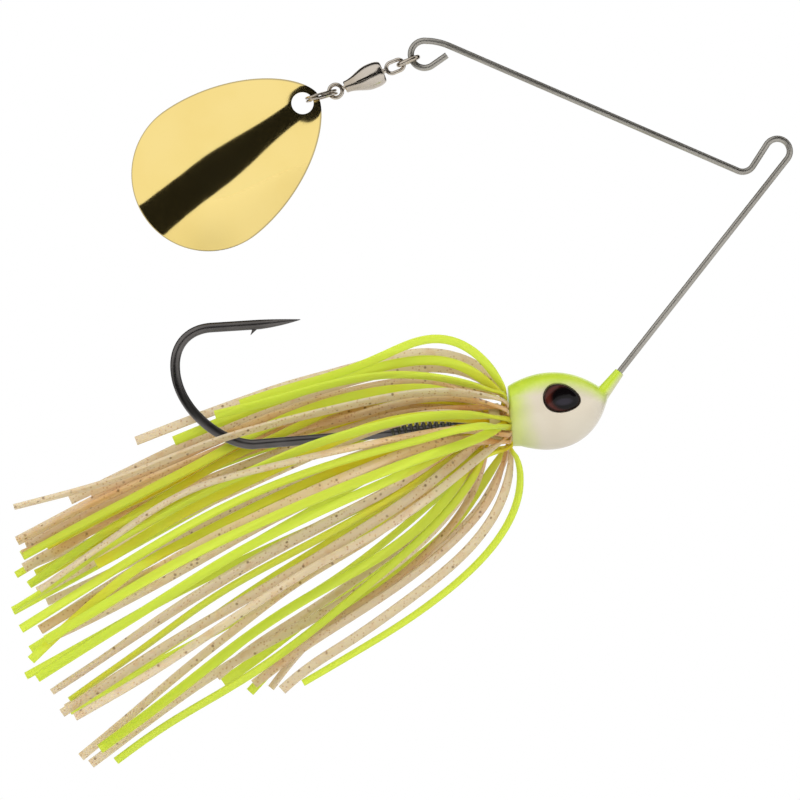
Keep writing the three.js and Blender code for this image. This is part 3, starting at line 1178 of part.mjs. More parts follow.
const chain = turnTo(new THREE.Group(), CHAIN_ANGLE);
chain.position.copy(loopCentre).addScaledVector(heading(CHAIN_ANGLE), LOOP_RADIUS);
chain.add(upperRing(), swivel, splitGroup);
spinnerbait.add(chain);

export default spinnerbait;
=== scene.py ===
"""A spinnerbait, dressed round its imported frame: wire, hook, painted head, silicone skirt, swivel and blade.

Lengths are metres. +X is the way the fishing line pulls, +Z is up, and the wire and hook lie in the XZ plane,
with the line tie at the origin. The frame gives the joints and the boxes, and the driving sizes are below.
"""

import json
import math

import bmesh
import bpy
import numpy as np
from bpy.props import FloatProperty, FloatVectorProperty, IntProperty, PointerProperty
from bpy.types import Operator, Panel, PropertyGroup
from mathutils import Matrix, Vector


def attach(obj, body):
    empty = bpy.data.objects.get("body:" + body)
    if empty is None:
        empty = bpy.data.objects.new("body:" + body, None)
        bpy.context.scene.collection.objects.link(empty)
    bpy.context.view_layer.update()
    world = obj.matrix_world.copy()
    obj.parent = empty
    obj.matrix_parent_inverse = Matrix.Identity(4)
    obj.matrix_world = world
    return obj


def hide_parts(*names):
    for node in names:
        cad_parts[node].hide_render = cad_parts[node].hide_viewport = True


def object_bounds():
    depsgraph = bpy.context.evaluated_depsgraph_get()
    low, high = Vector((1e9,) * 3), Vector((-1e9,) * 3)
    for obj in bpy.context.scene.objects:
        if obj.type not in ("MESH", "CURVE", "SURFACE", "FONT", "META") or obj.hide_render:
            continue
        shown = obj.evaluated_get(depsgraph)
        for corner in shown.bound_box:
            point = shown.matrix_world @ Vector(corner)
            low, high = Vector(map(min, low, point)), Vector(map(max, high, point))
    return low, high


bl_info = {
    "name": "Spinnerbait",
    "version": (1, 0, 0),
    "blender": (4, 5, 0),
    "location": "3D View > Sidebar > Spinnerbait",
    "description": "Models a jointed spinnerbait and a pale studio round it",
    "category": "Object",
}

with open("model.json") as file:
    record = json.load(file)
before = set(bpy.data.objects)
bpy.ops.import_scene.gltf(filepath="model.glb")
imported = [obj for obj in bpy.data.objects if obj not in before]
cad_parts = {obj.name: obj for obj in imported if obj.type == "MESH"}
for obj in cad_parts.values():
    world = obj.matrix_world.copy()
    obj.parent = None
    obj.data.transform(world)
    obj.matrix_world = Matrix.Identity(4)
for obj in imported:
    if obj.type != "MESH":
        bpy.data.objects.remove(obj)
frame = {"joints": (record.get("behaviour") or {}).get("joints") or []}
CAD_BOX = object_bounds()

# Driving sizes. Angles are degrees in the XZ plane, from +X towards +Z

MM = 0.001
WIRE_RADIUS = 0.45 * MM
WIRE_END_EDGE = 0.07 * MM
TAIL_LENGTH = 2.5 * MM
TAIL_ANGLE = 35  # the tail's rise towards its tip
LOOP_RADIUS = 1.9 * MM
SWEEP_RADIUS = 8.8 * MM  # the easy bend between the loop and the upper arm
UPPER_ARM_LENGTH = 44 * MM
UPPER_ARM_ANGLE = 23.4
HEEL_RADIUS = 1.7 * MM
TIE_LEG_LENGTH = 3.6 * MM
TIE_LEG_ANGLE = 57.3
TIE_RADIUS = 1.75 * MM
LOWER_ARM_LENGTH = 37.9 * MM  # from the line tie to the tip of the head's sleeve
LOWER_ARM_ANGLE = 51.8
EYE_DEPTH = 8 * MM  # from the sleeve's tip, along the wire, to the middle of the hook's eye
ANCHOR_DROP = 1.3 * MM  # wire that runs on straight below the hook's eye
ANCHOR_RADIUS = 1.6 * MM
ANCHOR_LENGTH = 6.5 * MM  # the leg that lies along the shank inside the head
HOOK_TILT = 4.8  # the shank's fall from the head to the bend
CHAIN_ANGLE = 202.5  # the way that the ring and the swivel lie
SPLIT_ANGLE = 195.5
BLADE_ANGLE = 216.9
CLEARANCE = 0.1 * MM

LOWER_ARM_HEADING = LOWER_ARM_ANGLE - 180
SHANK_HEADING = 180 + HOOK_TILT

# The wire on a bender's table: ("straight", length) or ("bend", turn in degrees, radius)
WIRE_TABLE = [
    ("straight", TAIL_LENGTH),
    ("bend", -(180 + TAIL_ANGLE), LOOP_RADIUS),
    ("bend", -UPPER_ARM_ANGLE, SWEEP_RADIUS),
    ("straight", UPPER_ARM_LENGTH),
    ("bend", UPPER_ARM_ANGLE + TIE_LEG_ANGLE, HEEL_RADIUS),
    ("straight", TIE_LEG_LENGTH),
    ("bend", LOWER_ARM_HEADING - TIE_LEG_ANGLE, TIE_RADIUS),
    ("straight", LOWER_ARM_LENGTH + EYE_DEPTH + ANCHOR_DROP),
    ("bend", SHANK_HEADING - 360 - LOWER_ARM_HEADING, ANCHOR_RADIUS),
    ("straight", ANCHOR_LENGTH),
]
TIE_STEP = 6  # the table's step that bends the line tie

JOINTS = {joint["name"]: joint for joint in frame["joints"]}


def joint_place(name):
    """Where a joint of the frame lies."""
    return Vector(JOINTS[name]["pos_m"])


def linear(red, green, blue):
    """A colour written as 0 to 255 screen values, as the linear values that a shader takes."""
    def one(value):
        share = value / 255
        return share / 12.92 if share <= 0.04045 else ((share + 0.055) / 1.055) ** 2.4
    return (one(red), one(green), one(blue))


# What a user would change

def length(name, description, default):
    return FloatProperty(name=name, description=description, default=default, unit="LENGTH")


def colour(name, description, default):
    return FloatVectorProperty(
        name=name, description=description, default=default, subtype="COLOR", size=3, min=0, max=1)


class WireSizes(PropertyGroup):
    """Sizes of the wire frame"""

    diameter: length("Wire", "Diameter of the frame's wire", 0.9 * MM)
    sides: IntProperty(name="Sides", description="Sides of the wire's round section", default=20)


class HookSizes(PropertyGroup):
    """Sizes of the hook and the bait keeper"""

    diameter: length("Hook wire", "Diameter of the hook's shank and bend", 1.4 * MM)
    gap: length("Gap", "From the shank's middle to the spear's", 16.8 * MM)
    keeper_wire: length("Keeper wire", "Diameter of the wire wound behind the neck", 0.44 * MM)


class HeadSizes(PropertyGroup):
    """Sizes of the cast head"""

    width: length("Width", "Across the head's widest place", 8.8 * MM)
    rear_width: length("Rear width", "Across the head's flat rear", 6.6 * MM)
    grain: length("Paint film grain", "Voxel that rounds the casting's corners as paint does", 0.12 * MM)


class SkirtSizes(PropertyGroup):
    """Sizes of the silicone strands"""

    strand_width: length("Strand width", "Across a strand's broad side", 1.25 * MM)
    strand_thickness: length("Strand thickness", "Across a strand's narrow side", 0.6 * MM)


class BladeSizes(PropertyGroup):
    """Sizes of the blade"""

    width: length("Width", "Across the blade's widest place", 21.6 * MM)
    tip_length: length("Tip length", "From the widest place to the narrow tip", 19 * MM)
    cup: length("Cup", "Depth of the blade's cup", 3.7 * MM)
    thickness: length("Thickness", "The blade's thickness", 0.6 * MM)


class FinishColours(PropertyGroup):
    """Colours of all finishes"""

    wire: colour("Wire", "Spring steel", linear(176, 172, 164))
    hook: colour("Hook", "Black nickel", linear(92, 89, 87))
    pearl: colour("Pearl", "The head's belly", linear(216, 207, 188))
    chartreuse: colour("Chartreuse", "The head's back", linear(196, 218, 40))
    eye_rim: colour("Eye rim", "The printed iris", linear(88, 40, 34))
    strand_green: colour("Green strands", "Chartreuse silicone", linear(214, 230, 82))
    # The shaded colours are painted shade: the strands' colour where other strands lie outside them and keep off their
    # light
    strand_deep_green: colour("Deep green", "Chartreuse silicone among other strands", linear(230, 196, 0))
    strand_pearl: colour("Pearl strands", "Pearl silicone", linear(225, 212, 185))
    strand_deep_pearl: colour("Deep pearl", "Pearl silicone among other strands", linear(233, 187, 124))
    flake: colour("Flake", "Flakes in the pearl silicone", linear(86, 58, 38))
    nickel: colour("Nickel", "Swivel and rings", linear(205, 196, 184))
    gold: colour("Gold", "The blade's plate", linear(248, 223, 144))


# Shader maths

class Shade:
    """A node's output that takes part in Python expressions."""

    def __init__(self, nodes, socket):
        self.nodes = nodes
        self.socket = socket

    def sibling(self, name):
        """Another output of the same node."""
        return Shade(self.nodes, self.socket.node.outputs[name])

    def maths(self, operation, *terms):
        return self.nodes.add("ShaderNodeMath", {"operation": operation}, dict(enumerate(terms)))

    def __add__(self, other):
        return self.maths("ADD", self, other)

    def __sub__(self, other):
        return self.maths("SUBTRACT", self, other)

    def __rsub__(self, other):
        return self.maths("SUBTRACT", other, self)

    def __mul__(self, other):
        return self.maths("MULTIPLY", self, other)

    def __truediv__(self, other):
        return self.maths("DIVIDE", self, other)

    def __pow__(self, other):
        return self.maths("POWER", self, other)

    __radd__ = __add__
    __rmul__ = __mul__

    def either(self, other):
        return self.maths("MAXIMUM", self, other)

    def step(self, low, high):
        """0 below low, 1 above high, and a soft rise between them. High may be the lower one."""
        return self.nodes.add("ShaderNodeMapRange", {"interpolation_type": "SMOOTHSTEP"}, {
            "Value": self, "From Min": low, "From Max": high, "To Min": 0.0, "To Max": 1.0})


class Nodes:
    """A node tree under construction."""

    def __init__(self, tree):
        self.tree = tree

    def plug(self, socket, value):
        """Gives a socket a link or a value. A colour has three numbers."""
        if isinstance(value, Shade):
            self.tree.links.new(value.socket, socket)
        elif socket.type == "RGBA":
            socket.default_value = (*value, 1)
        else:
            socket.default_value = value

    def add(self, kind, settings, inputs, output=0):
        """A node of a type, with its settings and its sockets' values or links."""
        node = self.tree.nodes.new(kind)
        for name, value in settings.items():
            setattr(node, name, value)
        for key, value in inputs.items():
            self.plug(node.inputs[key], value)
        return Shade(self, node.outputs[output])


class Finish(Nodes):
    """A material under construction. The names of its shader's sockets are written with underscores."""

    def __init__(self, name, **sockets):
        self.material = bpy.data.materials.new(name)
        self.material.use_nodes = True
        super().__init__(self.material.node_tree)
        self.shader = self.tree.nodes["Principled BSDF"]
        self.set(**sockets)

    def place(self):
        return self.add("ShaderNodeTexCoord", {}, {}, "Object")

    def local(self, origin, degrees):
        """The place in a frame that is centred at origin and turned in the XZ plane."""
        inverse = turned_frame(origin, degrees).inverted()
        return self.add("ShaderNodeMapping", {}, {
            "Vector": self.place(), "Location": inverse.translation, "Rotation": inverse.to_euler()})

    def parts(self, vector):
        """The X, Y and Z of a vector."""
        x = self.add("ShaderNodeSeparateXYZ", {}, {0: vector})
        return x, x.sibling("Y"), x.sibling("Z")

    def noise(self, scale, detail=2.0, roughness=0.5, stretch=None):
        vector = self.place()
        if stretch:
            vector = self.add("ShaderNodeMapping", {}, {"Vector": vector, "Scale": stretch})
        return self.add("ShaderNodeTexNoise", {}, {
            "Vector": vector, "Scale": scale, "Detail": detail, "Roughness": roughness}, "Fac")

    def spots(self, scale):
        """Distance to the nearest of a scatter of points, and a random number for each point."""
        distance = self.add("ShaderNodeTexVoronoi", {}, {"Vector": self.place(), "Scale": scale}, "Distance")
        chance, _, _ = self.parts(distance.sibling("Color"))
        return distance, chance

    def mix(self, factor, first, second):
        """The second colour over the first one, by a factor."""
        return self.add("ShaderNodeMix", {"data_type": "RGBA"}, {0: factor, 6: first, 7: second}, 2)

    def bump(self, height, distance, strength):
        return self.add("ShaderNodeBump", {}, {"Height": height, "Distance": distance, "Strength": strength})

    def clear(self, share, tint):
        """Lets a share of the light pass, tinted, at each surface."""
        glass = self.add("ShaderNodeBsdfTransparent", {}, {"Color": tint})
        solid = Shade(self, self.shader.outputs[0])
        blend = self.add("ShaderNodeMixShader", {}, {0: share, 1: solid, 2: glass})
        self.plug(self.tree.nodes["Material Output"].inputs["Surface"], blend)
        return self.material

    def set(self, **sockets):
        """Gives the shader its changing sockets, and the finished material back."""
        for name, value in sockets.items():
            self.plug(self.shader.inputs[name.replace("_", " ")], value)
        return self.material


# Finishes

def colours():
    return bpy.context.scene.spinnerbait_colours


def shared(make):
    """A material that is made once and shared by the pieces that have it."""
    name = make.__name__ + "_finish"
    return bpy.data.materials.get(name) or make(name)


def spring_steel(name):
    """Drawn spring wire: fine grain along it, with duller patches."""
    finish = Finish(name, Metallic=1.0)
    drawn = finish.noise(900, detail=3, stretch=(0.35, 1, 0.35))
    grime = finish.noise(160, detail=2)
    tint = finish.mix(grime.step(0.42, 0.72) * 0.5, colours().wire, linear(150, 145, 136))
    return finish.set(
        Base_Color=tint,
        Roughness=0.36 + 0.08 * drawn,
        Normal=finish.bump(drawn, 0.004 * MM, 0.15),
    )


def black_nickel(name):
    """The hook's dark plate, cloudy and a little worn."""
    finish = Finish(name, Metallic=1.0)
    cloud = finish.noise(220, detail=4)
    worn = finish.noise(1400, detail=2)
    tint = finish.mix(cloud.step(0.4, 0.75) * 0.6, colours().hook, linear(120, 116, 114))
    return finish.set(
        Base_Color=tint,
        Roughness=0.22 + 0.16 * cloud,
        Normal=finish.bump(worn, 0.006 * MM, 0.3),
    )


def keeper_wire(name):
    """The wound wire behind the neck, tarnished in patches."""
    finish = Finish(name, Metallic=1.0)
    cloud = finish.noise(600, detail=3)
    tint = finish.mix(cloud, linear(62, 60, 50), linear(104, 102, 84))
    return finish.set(Base_Color=tint, Roughness=0.25 + 0.2 * cloud)


def nickel_plate(name):
    """Bright plate with warm, dull patches and fine wear."""
    finish = Finish(name, Metallic=1.0)
    cloud = finish.noise(350, detail=4)
    wear = finish.noise(1800, detail=3, roughness=0.7)
    tint = finish.mix(cloud.step(0.35, 0.8) * 0.55, colours().nickel, linear(168, 152, 128))
    return finish.set(
        Base_Color=tint,
        Roughness=0.12 + 0.18 * wear,
        Normal=finish.bump(wear, 0.006 * MM, 0.35),
    )


def bearing_steel(name):
    """Polished steel under a film of oil."""
    finish = Finish(name, Metallic=1.0)
    oil = finish.noise(900, detail=3)
    tint = finish.mix(oil.step(0.3, 0.8), linear(214, 214, 212), linear(190, 186, 176))
    return finish.set(Base_Color=tint, Roughness=0.05 + 0.12 * oil)


def gold_plate(name):
    """Polished gold plate, with a painted shade that darkens the blade's rim to grey-brown."""
    finish = Finish(name, Metallic=1.0)
    cloud = finish.noise(90, detail=3)
    polish = finish.noise(700, detail=4, roughness=0.65, stretch=(1, 1, 0.25))
    tint = finish.mix(cloud.step(0.35, 0.7) * 0.3, colours().gold, linear(240, 210, 118))
    sizes = bpy.context.scene.spinnerbait_blade
    x, _, z = finish.parts(finish.local(*blade_place(sizes)))
    across = z.maths("ABSOLUTE", z) / (sizes.width / 2)
    ahead = x.either(0.0) / sizes.tip_length
    behind = (0 - x).either(0.0) / (sizes.width / 2)
    front = across ** (1 / BLADE_SIDE_POWER) + ahead ** BLADE_TIP_POWER
    back = across ** 2 + behind ** 2
    # Painted shade: a thin dark line round the blade's rim, where a shadow lies along the edge.
    rim = front.either(back).step(0.965, 0.985)
    return finish.set(
        Base_Color=finish.mix(rim * 0.6, tint, linear(132, 124, 104)),
        Roughness=0.05 + 0.05 * polish,
        Normal=finish.bump(polish, 0.004 * MM, 0.12),
    )


def head_paint(name):
    """Pearl paint with a chartreuse spray over the back, the rear and the nose, under a clear coat."""
    finish = Finish(name, Coat_Weight=0.45, Coat_Roughness=0.12, Specular_IOR_Level=0.4)
    x, _, z = finish.parts(finish.local(hook_eye(), 0))
    mist = finish.noise(420, detail=4, roughness=0.7)
    cloud = finish.noise(110, detail=2)
    spray = (mist - 0.5) * SPRAY_WANDER + (cloud - 0.5) * SPRAY_WANDER
    back = BACK_HEIGHT - (x - BACK_MIDDLE) ** 2 * BACK_CURVE
    top = (z + spray - back).step(*BACK_FADE)
    belly = REAR_BELLY_GREEN + (1 - REAR_BELLY_GREEN) * z.step(*REAR_FADE)
    rear = (x + spray + z * 0.25).step(REAR_GREEN_END, REAR_GREEN_START) * belly
    above = (z * SLEEVE_RUN[0] - x * SLEEVE_RUN[1] + spray * 0.2).step(*SLEEVE_FADE)
    ahead = (x + z * 0.4 + spray * 0.4).step(*NOSE_FADE)
    green = top.either(rear).either(ahead) * (1 - 0.75 * ahead * (1 - above))
    pearl = finish.mix(cloud.step(0.3, 0.7), colours().pearl, linear(208, 196, 176))
    lime = finish.mix(mist.step(0.3, 0.8), colours().chartreuse, linear(176, 204, 24))
    return finish.set(
        Base_Color=finish.mix(green * 0.96, pearl, lime),
        Roughness=0.3 + 0.12 * cloud,
        Normal=finish.bump(mist, 0.012 * MM, 0.4),
    )


def eye_print(name):
    """A printed eye: an iris with a dark pupil, a dark rim and a dull glint."""
    finish = Finish(name, Coat_Weight=0.15, Coat_Roughness=0.05, Specular_IOR_Level=0.15)
    x, _, z = finish.parts(finish.local(eye_middle(), EYE_TURN))
    pupil_x = (x - PUPIL_MIDDLE[0]) / PUPIL_HALF[0]
    pupil_z = (z - PUPIL_MIDDLE[1]) / PUPIL_HALF[1]
    pupil = 1 - (pupil_x * pupil_x + pupil_z * pupil_z).step(0.6, 1.3)
    rim = (x * x / (EYE_LENGTH / 2) ** 2 + z * z / (EYE_HEIGHT / 2) ** 2).step(0.72, 0.98)
    grain = finish.noise(1500, detail=2)
    radial = finish.noise(500, detail=4)
    iris = finish.mix(radial, colours().eye_rim, linear(62, 20, 14))
    dark = finish.mix(pupil, iris, linear(9, 6, 7))
    glint_x = (x - GLINT_MIDDLE[0]) / GLINT_HALF[0]
    glint_z = (z - GLINT_MIDDLE[1] - x * GLINT_RISE) / GLINT_HALF[1]
    glint = 1 - (glint_x * glint_x + glint_z * glint_z).step(0.2, 1.3)
    greyed = finish.mix(glint * 0.8, dark, linear(44, 40, 50))
    return finish.set(
        Base_Color=finish.mix(rim * 0.8, greyed, linear(26, 12, 10)),
        Roughness=0.12 + 0.1 * grain,
    )


def green_silicone(name):
    return silicone(name, colours().strand_green, colours().strand_deep_green, GREEN_TINT, flakes=False)


def pearl_silicone(name):
    return silicone(name, colours().strand_pearl, colours().strand_deep_pearl, PEARL_TINT, flakes=True)


def silicone(name, tone, shaded_tone, tint, flakes):
    """Soft translucent rubber. Tinted light passes through it, and a painted shade deepens its colour among other
    strands. Flakes lie in the pearl kind."""
    finish = Finish(
        name, Coat_Weight=0.1, Coat_Roughness=0.25, Subsurface_Weight=SILICONE_GLOW,
        Subsurface_Radius=(1.0, 0.9, 0.35), Subsurface_Scale=0.9 * MM, Specular_IOR_Level=0.35)
    cloud = finish.noise(240, detail=3)
    crowding = finish.add("ShaderNodeAttribute", {"attribute_name": "crowding"}, {}, "Fac")
    # Painted shade: the crowding attribute turns the colour towards the shaded tone where other strands lie round this
    # one
    depth = (crowding + (cloud - 0.5) * 0.4).step(0.05, 0.95)
    shade = finish.mix(depth, tone, shaded_tone)
    if flakes:
        near, chance = finish.spots(1300)
        speck = (1 - near.step(0.12, 0.4)) * chance.step(0.84, 0.9)
        fine, fine_chance = finish.spots(2300)
        dust = (1 - fine.step(0.15, 0.45)) * fine_chance.step(0.5, 0.66)
        blotch = finish.noise(620, detail=2).step(0.5, 0.72)
        shade = finish.mix(blotch * 0.28, shade, linear(206, 150, 96))
        shade = finish.mix(dust * 0.55, shade, linear(164, 104, 62))
        shade = finish.mix(speck * 0.85, shade, colours().flake)
    finish.set(Base_Color=shade, Roughness=0.36 + 0.14 * cloud)
    return finish.clear(SILICONE_CLEAR, tint)


def band_silicone(name):
    """The waist band's pale rubber."""
    finish = Finish(
        name, Subsurface_Weight=0.3, Subsurface_Radius=(1, 0.8, 0.5), Subsurface_Scale=0.5 * MM)
    cloud = finish.noise(500, detail=3)
    tint = finish.mix(cloud, linear(208, 190, 140), linear(186, 176, 110))
    return finish.set(Base_Color=tint, Roughness=0.42 + 0.15 * cloud, Normal=finish.bump(cloud, 0.02 * MM, 0.4))


# Modelling helpers

def heading(degrees):
    """A unit vector in the XZ plane, at an angle from +X towards +Z."""
    turn = math.radians(degrees)
    return Vector((math.cos(turn), 0, math.sin(turn)))


def turned_frame(origin, degrees):
    """A frame at origin whose X runs at an angle in the XZ plane, and whose Y stays Y."""
    axes = Matrix((heading(degrees), (0, 1, 0), heading(degrees + 90))).transposed()
    return Matrix.Translation(origin) @ axes.to_4x4()


def deselect():
    """Leaves edit mode and selects nothing."""
    if bpy.context.object and bpy.context.object.mode != "OBJECT":
        bpy.ops.object.mode_set(mode="OBJECT")
    bpy.ops.object.select_all(action="DESELECT")


def choose(piece):
    """Selects one piece alone and makes it the active one."""
    deselect()
    piece.select_set(True)
    bpy.context.view_layer.objects.active = piece


def apply_modifier(piece, kind, **settings):
    choose(piece)
    modifier = piece.modifiers.new(kind.title(), kind)
    for name, value in settings.items():
        setattr(modifier, name, value)
    bpy.ops.object.modifier_apply(modifier=modifier.name)


def bevel(piece, width, segments, sharp=30):
    """Eases the edges that turn by more than an angle."""
    apply_modifier(piece, "BEVEL", width=width, segments=segments, limit_method="ANGLE",
                   angle_limit=math.radians(sharp))


def edit(piece):
    """Opens one piece in edit mode with all of it selected."""
    choose(piece)
    bpy.ops.object.mode_set(mode="EDIT")
    bpy.ops.mesh.select_mode(type="VERT")
    bpy.ops.mesh.select_all(action="SELECT")


def close_edit(weld=0.0005 * MM):
    """Welds what meets, turns the faces outwards and leaves edit mode."""
    bpy.ops.mesh.select_all(action="SELECT")
    bpy.ops.mesh.remove_doubles(threshold=weld)
    bpy.ops.mesh.normals_make_consistent(inside=False)
    bpy.ops.object.mode_set(mode="OBJECT")


def settle_place(piece):
    """Puts a piece's place into its mesh."""
    choose(piece)
    bpy.ops.object.transform_apply(location=True, rotation=True, scale=True)
    return piece


def primitive(kind, name, **settings):
    """One of Blender's primitives at its size and place, selected alone, with its place in its mesh."""
    deselect()
    getattr(bpy.ops.mesh, f"primitive_{kind}_add")(**settings)
    piece = bpy.context.object
    piece.name = name
    return settle_place(piece)


def new_object(name, data):
    piece = bpy.data.objects.new(name, data)
    bpy.context.scene.collection.objects.link(piece)
    return piece


def round_blank(name, radius, sides, start, degrees):
    """A round section that stands square to a heading, ready to be drawn out."""
    return primitive("circle", name, vertices=sides, radius=radius, location=start,
                     rotation=(0, math.radians(90 - degrees), 0))


def walk(start, degrees, table):
    """The place and heading after each step of a bender's table, and each bend's centre."""
    point, now = Vector(start), degrees
    stops = []
    for step in table:
        if step[0] == "straight":
            point = point + heading(now) * step[1]
            stops.append((point, now, None))
            continue
        _, turn, radius = step
        side = math.copysign(1, turn)
        centre = point + heading(now + 90 * side) * radius
        now += turn
        point = centre - heading(now + 90 * side) * radius
        stops.append((point, now, centre))
    return stops


def draw_wire(piece, start, degrees, table, bend_step=5):
    """Draws the piece's round section along a bender's table by extrudes and spins."""
    edit(piece)
    for step, (_, now, centre) in zip(table, walk(start, degrees, table)):
        if step[0] == "straight":
            bpy.ops.mesh.extrude_region_move(TRANSFORM_OT_translate={"value": heading(now) * step[1]})
            continue
        turn = step[1]
        bpy.ops.mesh.spin(steps=max(2, math.ceil(abs(turn) / bend_step)), angle=math.radians(abs(turn)),
                          center=centre, axis=(0, math.copysign(1, turn), 0))


def cap_ends(round_by):
    """Closes each open end of the piece in edit mode with a cap whose edge is rounded in two steps."""
    mesh = bpy.context.object.data
    bpy.ops.mesh.select_mode(type="EDGE")
    bpy.ops.mesh.select_all(action="DESELECT")
    bpy.ops.mesh.select_non_manifold(extend=False)
    bpy.ops.mesh.edge_face_add()
    bpy.ops.mesh.select_mode(type="FACE")
    shape = bmesh.from_edit_mesh(mesh)
    for face in shape.faces:
        face.select_set(len(face.verts) > 4)
    bmesh.update_edit_mesh(mesh)
    bpy.ops.mesh.inset(thickness=round_by, depth=round_by * 0.6)
    bpy.ops.mesh.inset(thickness=round_by, depth=round_by * 0.15)


def mesh_piece(name, points, faces, edges=()):
    mesh = bpy.data.meshes.new(name)
    mesh.from_pydata([tuple(point) for point in points], edges, faces)
    return new_object(name, mesh)


def skin(points, faces, rings):
    """Adds a skin through rings of equal count, with each end closed by one face."""
    count = len(rings[0])
    start = len(points)
    for ring in rings:
        points.extend(ring)
    for k in range(len(rings) - 1):
        a, b = start + k * count, start + (k + 1) * count
        faces += [(a + n, a + (n + 1) % count, b + (n + 1) % count, b + n) for n in range(count)]
    faces.append(tuple(range(start, start + count))[::-1])
    faces.append(tuple(range(len(points) - count, len(points))))


def loft_piece(name, rings):
    """A closed piece with a skin through its rings."""
    points, faces = [], []
    skin(points, faces, rings)
    piece = mesh_piece(name, points, faces)
    edit(piece)
    close_edit()
    return piece


def lathe(name, profile, origin, degrees, steps):
    """Spins a profile of (along, radius) pairs round an axis at an angle in the XZ plane."""
    edges = [(k, k + 1) for k in range(len(profile) - 1)]
    piece = mesh_piece(name, [(along, 0, radius) for along, radius in profile], [], edges)
    edit(piece)
    bpy.ops.mesh.spin(steps=steps, angle=2 * math.pi, center=(0, 0, 0), axis=(1, 0, 0))
    close_edit()
    piece.data.transform(turned_frame(origin, degrees))
    return piece


def ring_profile(start, end, inner, outer):
    """The closed profile of a flat ring, for the lathe."""
    return [(start, inner), (start, outer), (end, outer), (end, inner), (start, inner)]


def eye_of_wire(name, half, straight, origin, degrees):
    """A closed eye of wire with two round ends, and straight sides between them if they have a length."""
    blank = round_blank(name, EYE_WIRE / 2, EYE_WIRE_SIDES, (half, 0, -half), 0)
    side = [("straight", straight)] if straight > 0.001 * MM else []
    table = [*side, ("bend", 180, half), *side, ("bend", 180, half)]
    draw_wire(blank, (half, 0, -half), 0, table, bend_step=9)
    close_edit(weld=0.01 * MM)
    blank.data.transform(turned_frame(origin, degrees))
    return blank


def join(piece, other):
    """Joins another piece into one, as a shell of its own."""
    choose(piece)
    other.select_set(True)
    bpy.ops.object.join()


def cut(piece, tool, operation="DIFFERENCE"):
    """A boolean with a tool that is then thrown away."""
    apply_modifier(piece, "BOOLEAN", operation=operation, object=tool, solver="EXACT")
    bpy.data.objects.remove(tool)


def dress(piece, body, nodes, make, smooth=40):
    """Gives a finished piece its material, its body and the nodes that it stands for."""
    choose(piece)
    bpy.ops.object.shade_smooth_by_angle(angle=math.radians(smooth))
    piece.data.name = piece.name
    piece.data.materials.clear()
    piece.data.materials.append(shared(make))
    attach(piece, body)
    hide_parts(*nodes)


# Places that several pieces share

WIRE_STOPS = walk((0, 0, 0), 180 + TAIL_ANGLE, WIRE_TABLE)
WIRE_START = -WIRE_STOPS[TIE_STEP][2]


def sleeve_tip():
    """Where the wire enters the head."""
    start = heading(LOWER_ARM_HEADING + 90) * TIE_RADIUS
    return start + heading(LOWER_ARM_HEADING) * LOWER_ARM_LENGTH


def hook_eye():
    """The middle of the hook's eye, inside the head."""
    return sleeve_tip() + heading(LOWER_ARM_HEADING) * EYE_DEPTH


def on_hook(along, up, out=0.0):
    """A point from its distance along the shank, its height square to it, and its distance towards -Y."""
    place = hook_eye() + heading(SHANK_HEADING) * along + heading(SHANK_HEADING - 90) * up
    return place + Vector((0, -out, 0))


# Wire frame

class SPINNERBAIT_OT_wire(Operator):
    """Bends the frame's wire from a straight blank, on the bender's table"""

    bl_idname = "spinnerbait.wire"
    bl_label = "Wire frame"

    def execute(self, context):
        sizes = context.scene.spinnerbait_wire
        piece = round_blank("steel_wire", sizes.diameter / 2, sizes.sides, WIRE_START, 180 + TAIL_ANGLE)
        draw_wire(piece, WIRE_START, 180 + TAIL_ANGLE, WIRE_TABLE)
        cap_ends(WIRE_END_EDGE)
        close_edit()
        dress(piece, "bait", ["wire_frame"], spring_steel)
        return {"FINISHED"}


# Hook and bait keeper

SHANK_LENGTH = 46.2 * MM
BEND_BACK = 56.5 * MM
BEND_BACK_HEIGHT = 11.9 * MM
LOWER_BEND_HANDLE = 4 * MM
LOWER_BEND_PULL = 6.4 * MM
UPPER_BEND_PULL = 3.3 * MM
UPPER_BEND_HANDLE = 2.9 * MM
SPEAR_START = 51 * MM
SPEAR_LENGTH = 12.5 * MM
SPEAR_DROP = 0.25 * MM
POINT_TAPER = 6.2 * MM  # how far back from its tip the spear thins
POINT_TAPER_POWER = 1.6
POINT_TIP = 0.05 * MM
SHANK_STEPS = 12
LOWER_BEND_STEPS = 32
UPPER_BEND_STEPS = 28
POINT_STEPS = 24
HOOK_SIDES = 24
BARB_FROM_TIP = 7 * MM
BARB_LENGTH = 1.5 * MM
BARB_HEIGHT = 0.75 * MM
BARB_SLANT = 1.1  # how far back the barb's end lies, as a share of its length
BARB_HEEL = 0.75  # how far back the foot of its end lies
BARB_ROOT = 0.2  # how deep it starts, as a share of the wire's radius
BARB_THICK = 0.2 * MM
BARB_THIN = 0.03 * MM
HOOK_EYE_RADIUS = 1.32 * MM
HOOK_EYE_WIRE = 0.8 * MM
KEEPER_START = 17.2 * MM
KEEPER_TURNS = 11
KEEPER_PITCH = 0.9 * MM
KEEPER_CLEARANCE = 0.15 * MM
KEEPER_STEPS = 28  # steps for each turn
KEEPER_SIDES = 12
UP = Vector((0, 0, 1))


def cubic(points, share):
    """A point of a cubic curve by its four control points."""
    rest = 1 - share
    a, b, c, d = points
    return a * rest ** 3 + b * (3 * rest * rest * share) + c * (3 * rest * share * share) + d * share ** 3


